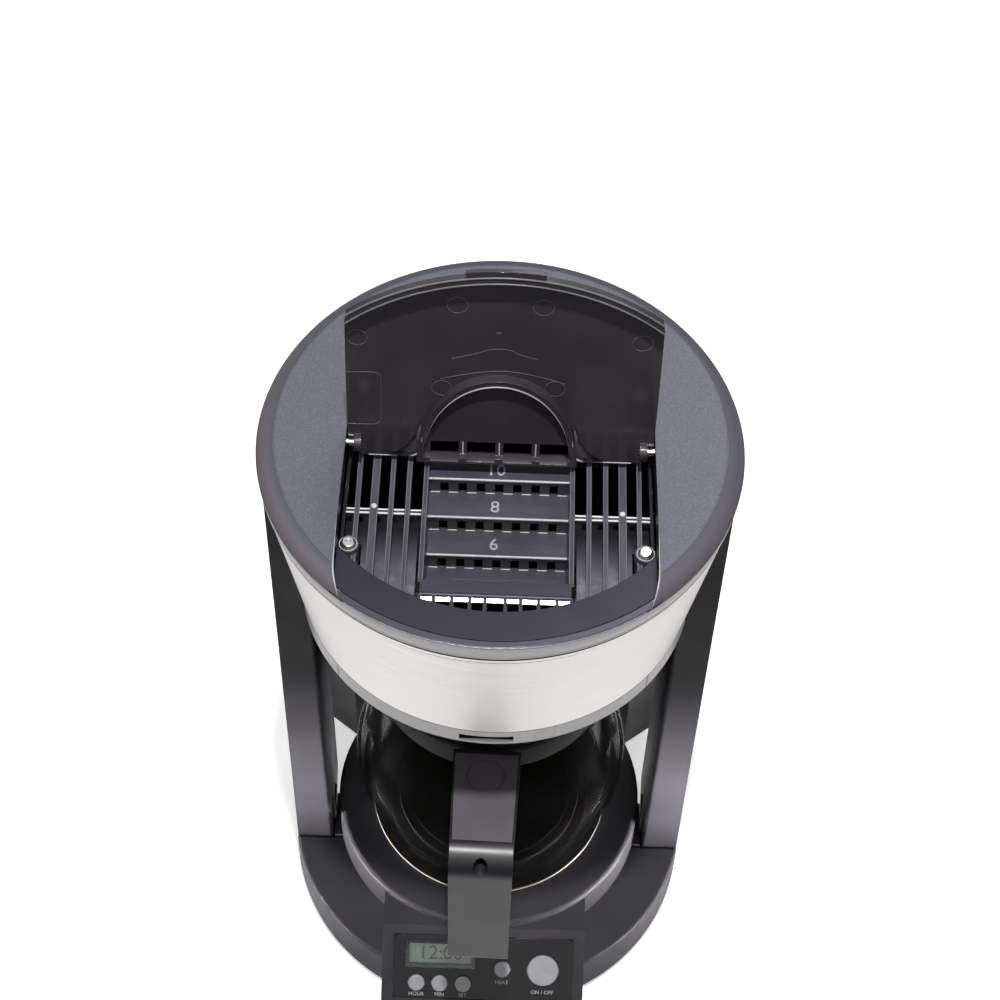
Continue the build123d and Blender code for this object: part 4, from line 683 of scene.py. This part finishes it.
def hang_lamps():
    """A small lamp overhead, two soft ones before and behind, and two low ones whose narrow
    beams graze the pillars' feet."""
    drum, wide, beam = (0, 0, 0.25), 3.1, 0.2
    # A lamp's place, width in m, watts, what it aims at, and the angle of its light in radians
    lamps = {
        "key_lamp": ((0.02, -0.36, 2.2), 0.08, 33.0, drum, wide),
        "front_lamp": ((-0.1, -1.2, 1.9), 1.0, 3.0, drum, wide),
        "rear_lamp": ((0.4, 1.4, 2.0), 1.0, 9.0, drum, wide),
        "low_left_lamp": ((-0.85, -0.42, 0.05), 0.08, 0.34, (-0.1, -0.03, 0.09), beam),
        "low_right_lamp": ((0.85, -0.42, 0.05), 0.08, 0.46, (0.1, -0.03, 0.09), beam),
    }
    for name, (spot, width, power, target, angle) in lamps.items():
        lamp = bpy.data.lights.new(name, "AREA")
        lamp.shape = "DISK"
        lamp.size = width
        lamp.energy = power
        lamp.spread = angle
        body = bpy.data.objects.new(name, lamp)
        turn = (Vector(target) - Vector(spot)).to_track_quat("-Z", "Y").to_matrix().to_4x4()
        body.matrix_world = Matrix.Translation(spot) @ turn
        bpy.context.scene.collection.objects.link(body)


bpy.context.scene.view_settings.view_transform = "Standard"
place_camera()

# Shells moulded in grained tools: the grain spreads the light, so they look dull and even. The
# column behind the carafe and its cover are the same, drawn darker as painted shade under the drum.
housing_abs = moulded(
    "abs_charcoal_grained", "#2e2c30", "#343236", roughness=0.55, grain=0.5, depth=0.02, shine=0.25
)
shaded_column_abs = moulded(
    "abs_grained_painted_shade", "#1b191c", "#201e21", roughness=0.6, grain=0.5, depth=0.02, shine=0.15
)
# The lid's mould was polished: its inner face mirrors, a little wavy where the plastic shrank.
lid_abs = moulded(
    "abs_black_polished", "#3a363c", "#3f3b41", roughness=0.16, grain=7.0, depth=0.03
)
# The inlay is satin, so it stays a plain grey disc on the dark strap.
inlay_abs = moulded(
    "abs_graphite_inlay", "#5a555b", "#605b61", roughness=0.36, grain=0.5, depth=0.01, shine=0.3
)
# Polypropylene keeps a waxy sheen. The insert has painted shade towards the back, where the lid
# shades it, and painted light on the ramps in front, paler still in blotches.
under_ribs = (HIGH, RIB_TOP - 0.3, RIB_TOP - 0.7)
under_ledge = (HIGH, 350.3, 350.0)
insert_zones = [
    ("#1d1c21", under_ribs, (DEEP, -70, -36)),
    ("#6f6e78", under_ribs, (DEEP, -40, -84)),
    ("#97969f", under_ribs, (DEEP, -50, -84), (BLOTCHES, 0.48, 0.64)),
    # The cheeks either side, the slatted plate, and the ledge round them all
    ("#1c1a1f", under_ledge, (ACROSS, 63.4, 63.8)),
    ("#1c1a1f", under_ledge, (ACROSS, -63.4, -63.8)),
    ("#383742", (HIGH, 345.0, 345.3), (DEEP, -64.0, -66.0)),
    ("#211f2b", (HIGH, 350.0, 350.3)),
]
insert_pp = moulded(
    "polypropylene_slate", "#48474f", "#504f57",
    roughness=0.34, grain=0.6, depth=0.012, shine=0.3, zones=insert_zones,
)
steps_pp = moulded(
    "polypropylene_slate_steps", "#403f49", "#474650", roughness=0.32, grain=0.6, depth=0.012
)
# The same plastic in black for what is out of sight, smoother on the carafe's handle, where
# hands polish it, and matt on the carafe's collar and lid, which only look dark.
inner_pp = moulded("polypropylene_black", "#161518", "#1c1b1e", roughness=0.38, grain=0.6)
carafe_pp = moulded(
    "polypropylene_carafe_black", "#1b1a1d", "#212023", roughness=0.34, grain=0.6, depth=0.015
)
collar_pp = moulded(
    "polypropylene_matt_black", "#1b1a1c", "#201f22",
    roughness=0.6, grain=0.5, depth=0.01, shine=0.15,
)
# Metallic paint over smooth plastic: pale and even, with painted shade in the funnel's finger slot.
slot_painted_shade = [
    (
        "#1a191b", (DEEP, -88.6, -88.2), (ACROSS, -14.5, -14.2), (ACROSS, 11.0, 10.7),
        (HIGH, 253.0, 253.3), (HIGH, 259.0, 258.7),
    ),
]
trim_paint = moulded(
    "abs_satin_silver_paint", "#e9e7ea", "#f2f0f2",
    roughness=0.28, grain=0.5, depth=0.006, zones=slot_painted_shade,
)
button_paint = moulded(
    "abs_silver_paint_buttons", "#98989c", "#a2a2a6", roughness=0.28, grain=0.4, depth=0.006
)
# Polished sheets: sharp highlights with a slow wave in them.
panel_acrylic = moulded(
    "acrylic_black_polished", "#0f0f12", "#131316", roughness=0.1, grain=9.0, depth=0.01
)
display_glass = moulded(
    "liquid_crystal_grey_green", "#76806f", "#7c8674", roughness=0.3, grain=3.0, depth=0.002
)
# Lacquer shows the weave under it, rubber is dull, silicone is cloudy, and the baked coating
# of the warmer plate has a fine orange peel.
board_lacquer = moulded(
    "fibreglass_green_lacquer", "#174a24", "#1c5629", roughness=0.3, grain=1.2
)
black_rubber = moulded("rubber_black", "#141414", "#1b1b1b", roughness=0.72, grain=0.6, depth=0.03)
milky_silicone = moulded("silicone_milky", "#bab5ab", "#c6c1b7", roughness=0.45, grain=5.0)
plate_coating = moulded(
    "non_stick_coating_black", "#171615", "#1e1c1b", roughness=0.36, grain=0.6
)
# Bare metal takes its look from what it mirrors: turning leaves it bright, casting dull.
screw_steel = bare_metal(
    "stainless_steel_bright", "#c9c7c4", "#dcdad7", roughness=0.2, grain=1.2, depth=0.004
)
heater_metal = bare_metal(
    "aluminium_cast", "#a9a9aa", "#bdbdbe", roughness=0.42, grain=0.9, depth=0.03
)
# The band is brushed round the drum, so its highlights run up and down. The brushing lines are
# about 0.1 mm apart; they are drawn at 0.35 mm so that they show.
band_metal = bare_metal(
    "stainless_steel_brushed", "#f7f1f0", "#fffcfb",
    roughness=0.38, grain=0.35, depth=0.0005, stretch=(0.012, 0.012, 1.0),
)
crown_abs = flake_crown()
# The carafe's blown wall is thin and smoked: what is behind it stays straight and looks darker.
# It is drawn with a lower index than solid glass, whose haze would hide the inside.
carafe_wall = clear_wall(
    "borosilicate_glass_smoked", "#c4bfbd",
    roughness=0.0, ior=1.05, ripple=25.0, depth=0.02, gloss=0.16, cover=0.4,
)
# The window is a flat clear sheet, seen only by its gloss.
window_wall = clear_wall(
    "acrylic_clear", "#eef0f1", roughness=0.02, ior=1.49, ripple=20.0, depth=0.02
)

dress(housing_abs, "base_housing", "bottom_cover", "left_pillar", "right_pillar")
dress(shaded_column_abs, "rear_column", "rear_cover")
dress(lid_abs, "top_lid")
dress(inlay_abs, "handle_inlay")
dress(insert_pp, "pour_insert")
dress(steps_pp, "level_steps")
dress(inner_pp, "drum_chassis", "water_tank", "spray_head", "funnel_rails", "brew_funnel")
dress(inner_pp, "check_valve", "button_switches")
dress(carafe_pp, "carafe_handle", "drip_stop")
dress(collar_pp, "carafe_collar", "carafe_lid")
dress(trim_paint, "upper_trim_ring", "lower_trim_ring", "funnel_front")
dress(button_paint, "hour_button", "minute_button", "program_button")
dress(button_paint, "warmer_button", "brew_button")
dress(panel_acrylic, "control_panel")
dress(display_glass, "display_module")
dress(board_lacquer, "circuit_board")
dress(black_rubber, "rubber_feet", "cord_bushing")
dress(milky_silicone, "warmer_gasket", "drip_seal", "cold_hose", "hot_hose")
dress(plate_coating, "warmer_plate")
dress(screw_steel, "bottom_screws", "cover_screws", "insert_screws", "hose_clamps", "handle_screw")
dress(screw_steel, "lid_pins", "drip_spring")
dress(heater_metal, "heating_tube", "thermostat")
dress(band_metal, "steel_band")
dress(crown_abs, "top_cover")
dress(carafe_wall, "carafe_glass")
dress(window_wall, "display_window")

# Pale beads in these three greys paint highlights along edges, brighter than the faces beside them
highlight_bright_abs = moulded(
    "abs_painted_highlight_bright", "#a3a2a6", "#b6b5b9", roughness=0.3, grain=0.4, depth=0.006
)
highlight_grey_abs = moulded(
    "abs_painted_highlight_grey", "#6b6a70", "#77767c", roughness=0.34, grain=0.4, depth=0.006
)
highlight_pale_abs = moulded(
    "abs_painted_highlight_pale", "#cfced2", "#dcdbdf", roughness=0.25, grain=0.4, depth=0.004
)
# Bright metal on the band's rolled hem draws one thin bright line, and along the drum's rim it
# is a painted highlight; the black bead under the trim ring is a painted shadow.
hem_and_highlight_chrome = bare_metal(
    "chromium_hem_and_painted_highlight", "#f2f0f2", "#fbf9fb", roughness=0.16, grain=0.8, depth=0.002
)
painted_shadow_black = moulded("abs_painted_shadow_black", "#161517", "#1c1b1d", roughness=0.5, grain=0.4, depth=0.004)
# Ink printed on the panel is matt beside it; the clock's figures are dark crystal.
pale_ink = moulded(
    "print_ink_pale_grey", "#c2c2c6", "#cbcbcf", roughness=0.55, grain=0.3, depth=0.004
)
crystal_black = moulded(
    "liquid_crystal_black", "#191d18", "#20241f", roughness=0.4, grain=0.4, depth=0.002
)
# The slatted plate's front edge is polished, so it shows as a row of white dashes.
strip_steel = bare_metal(
    "stainless_steel_polished_strip", "#e6e5e3", "#efeeec",
    roughness=0.22, grain=0.6, depth=0.002,
)

lid_details()
water_well_details()
drum_details()
console_details()
paper_floor()
white_room()
hang_lamps()
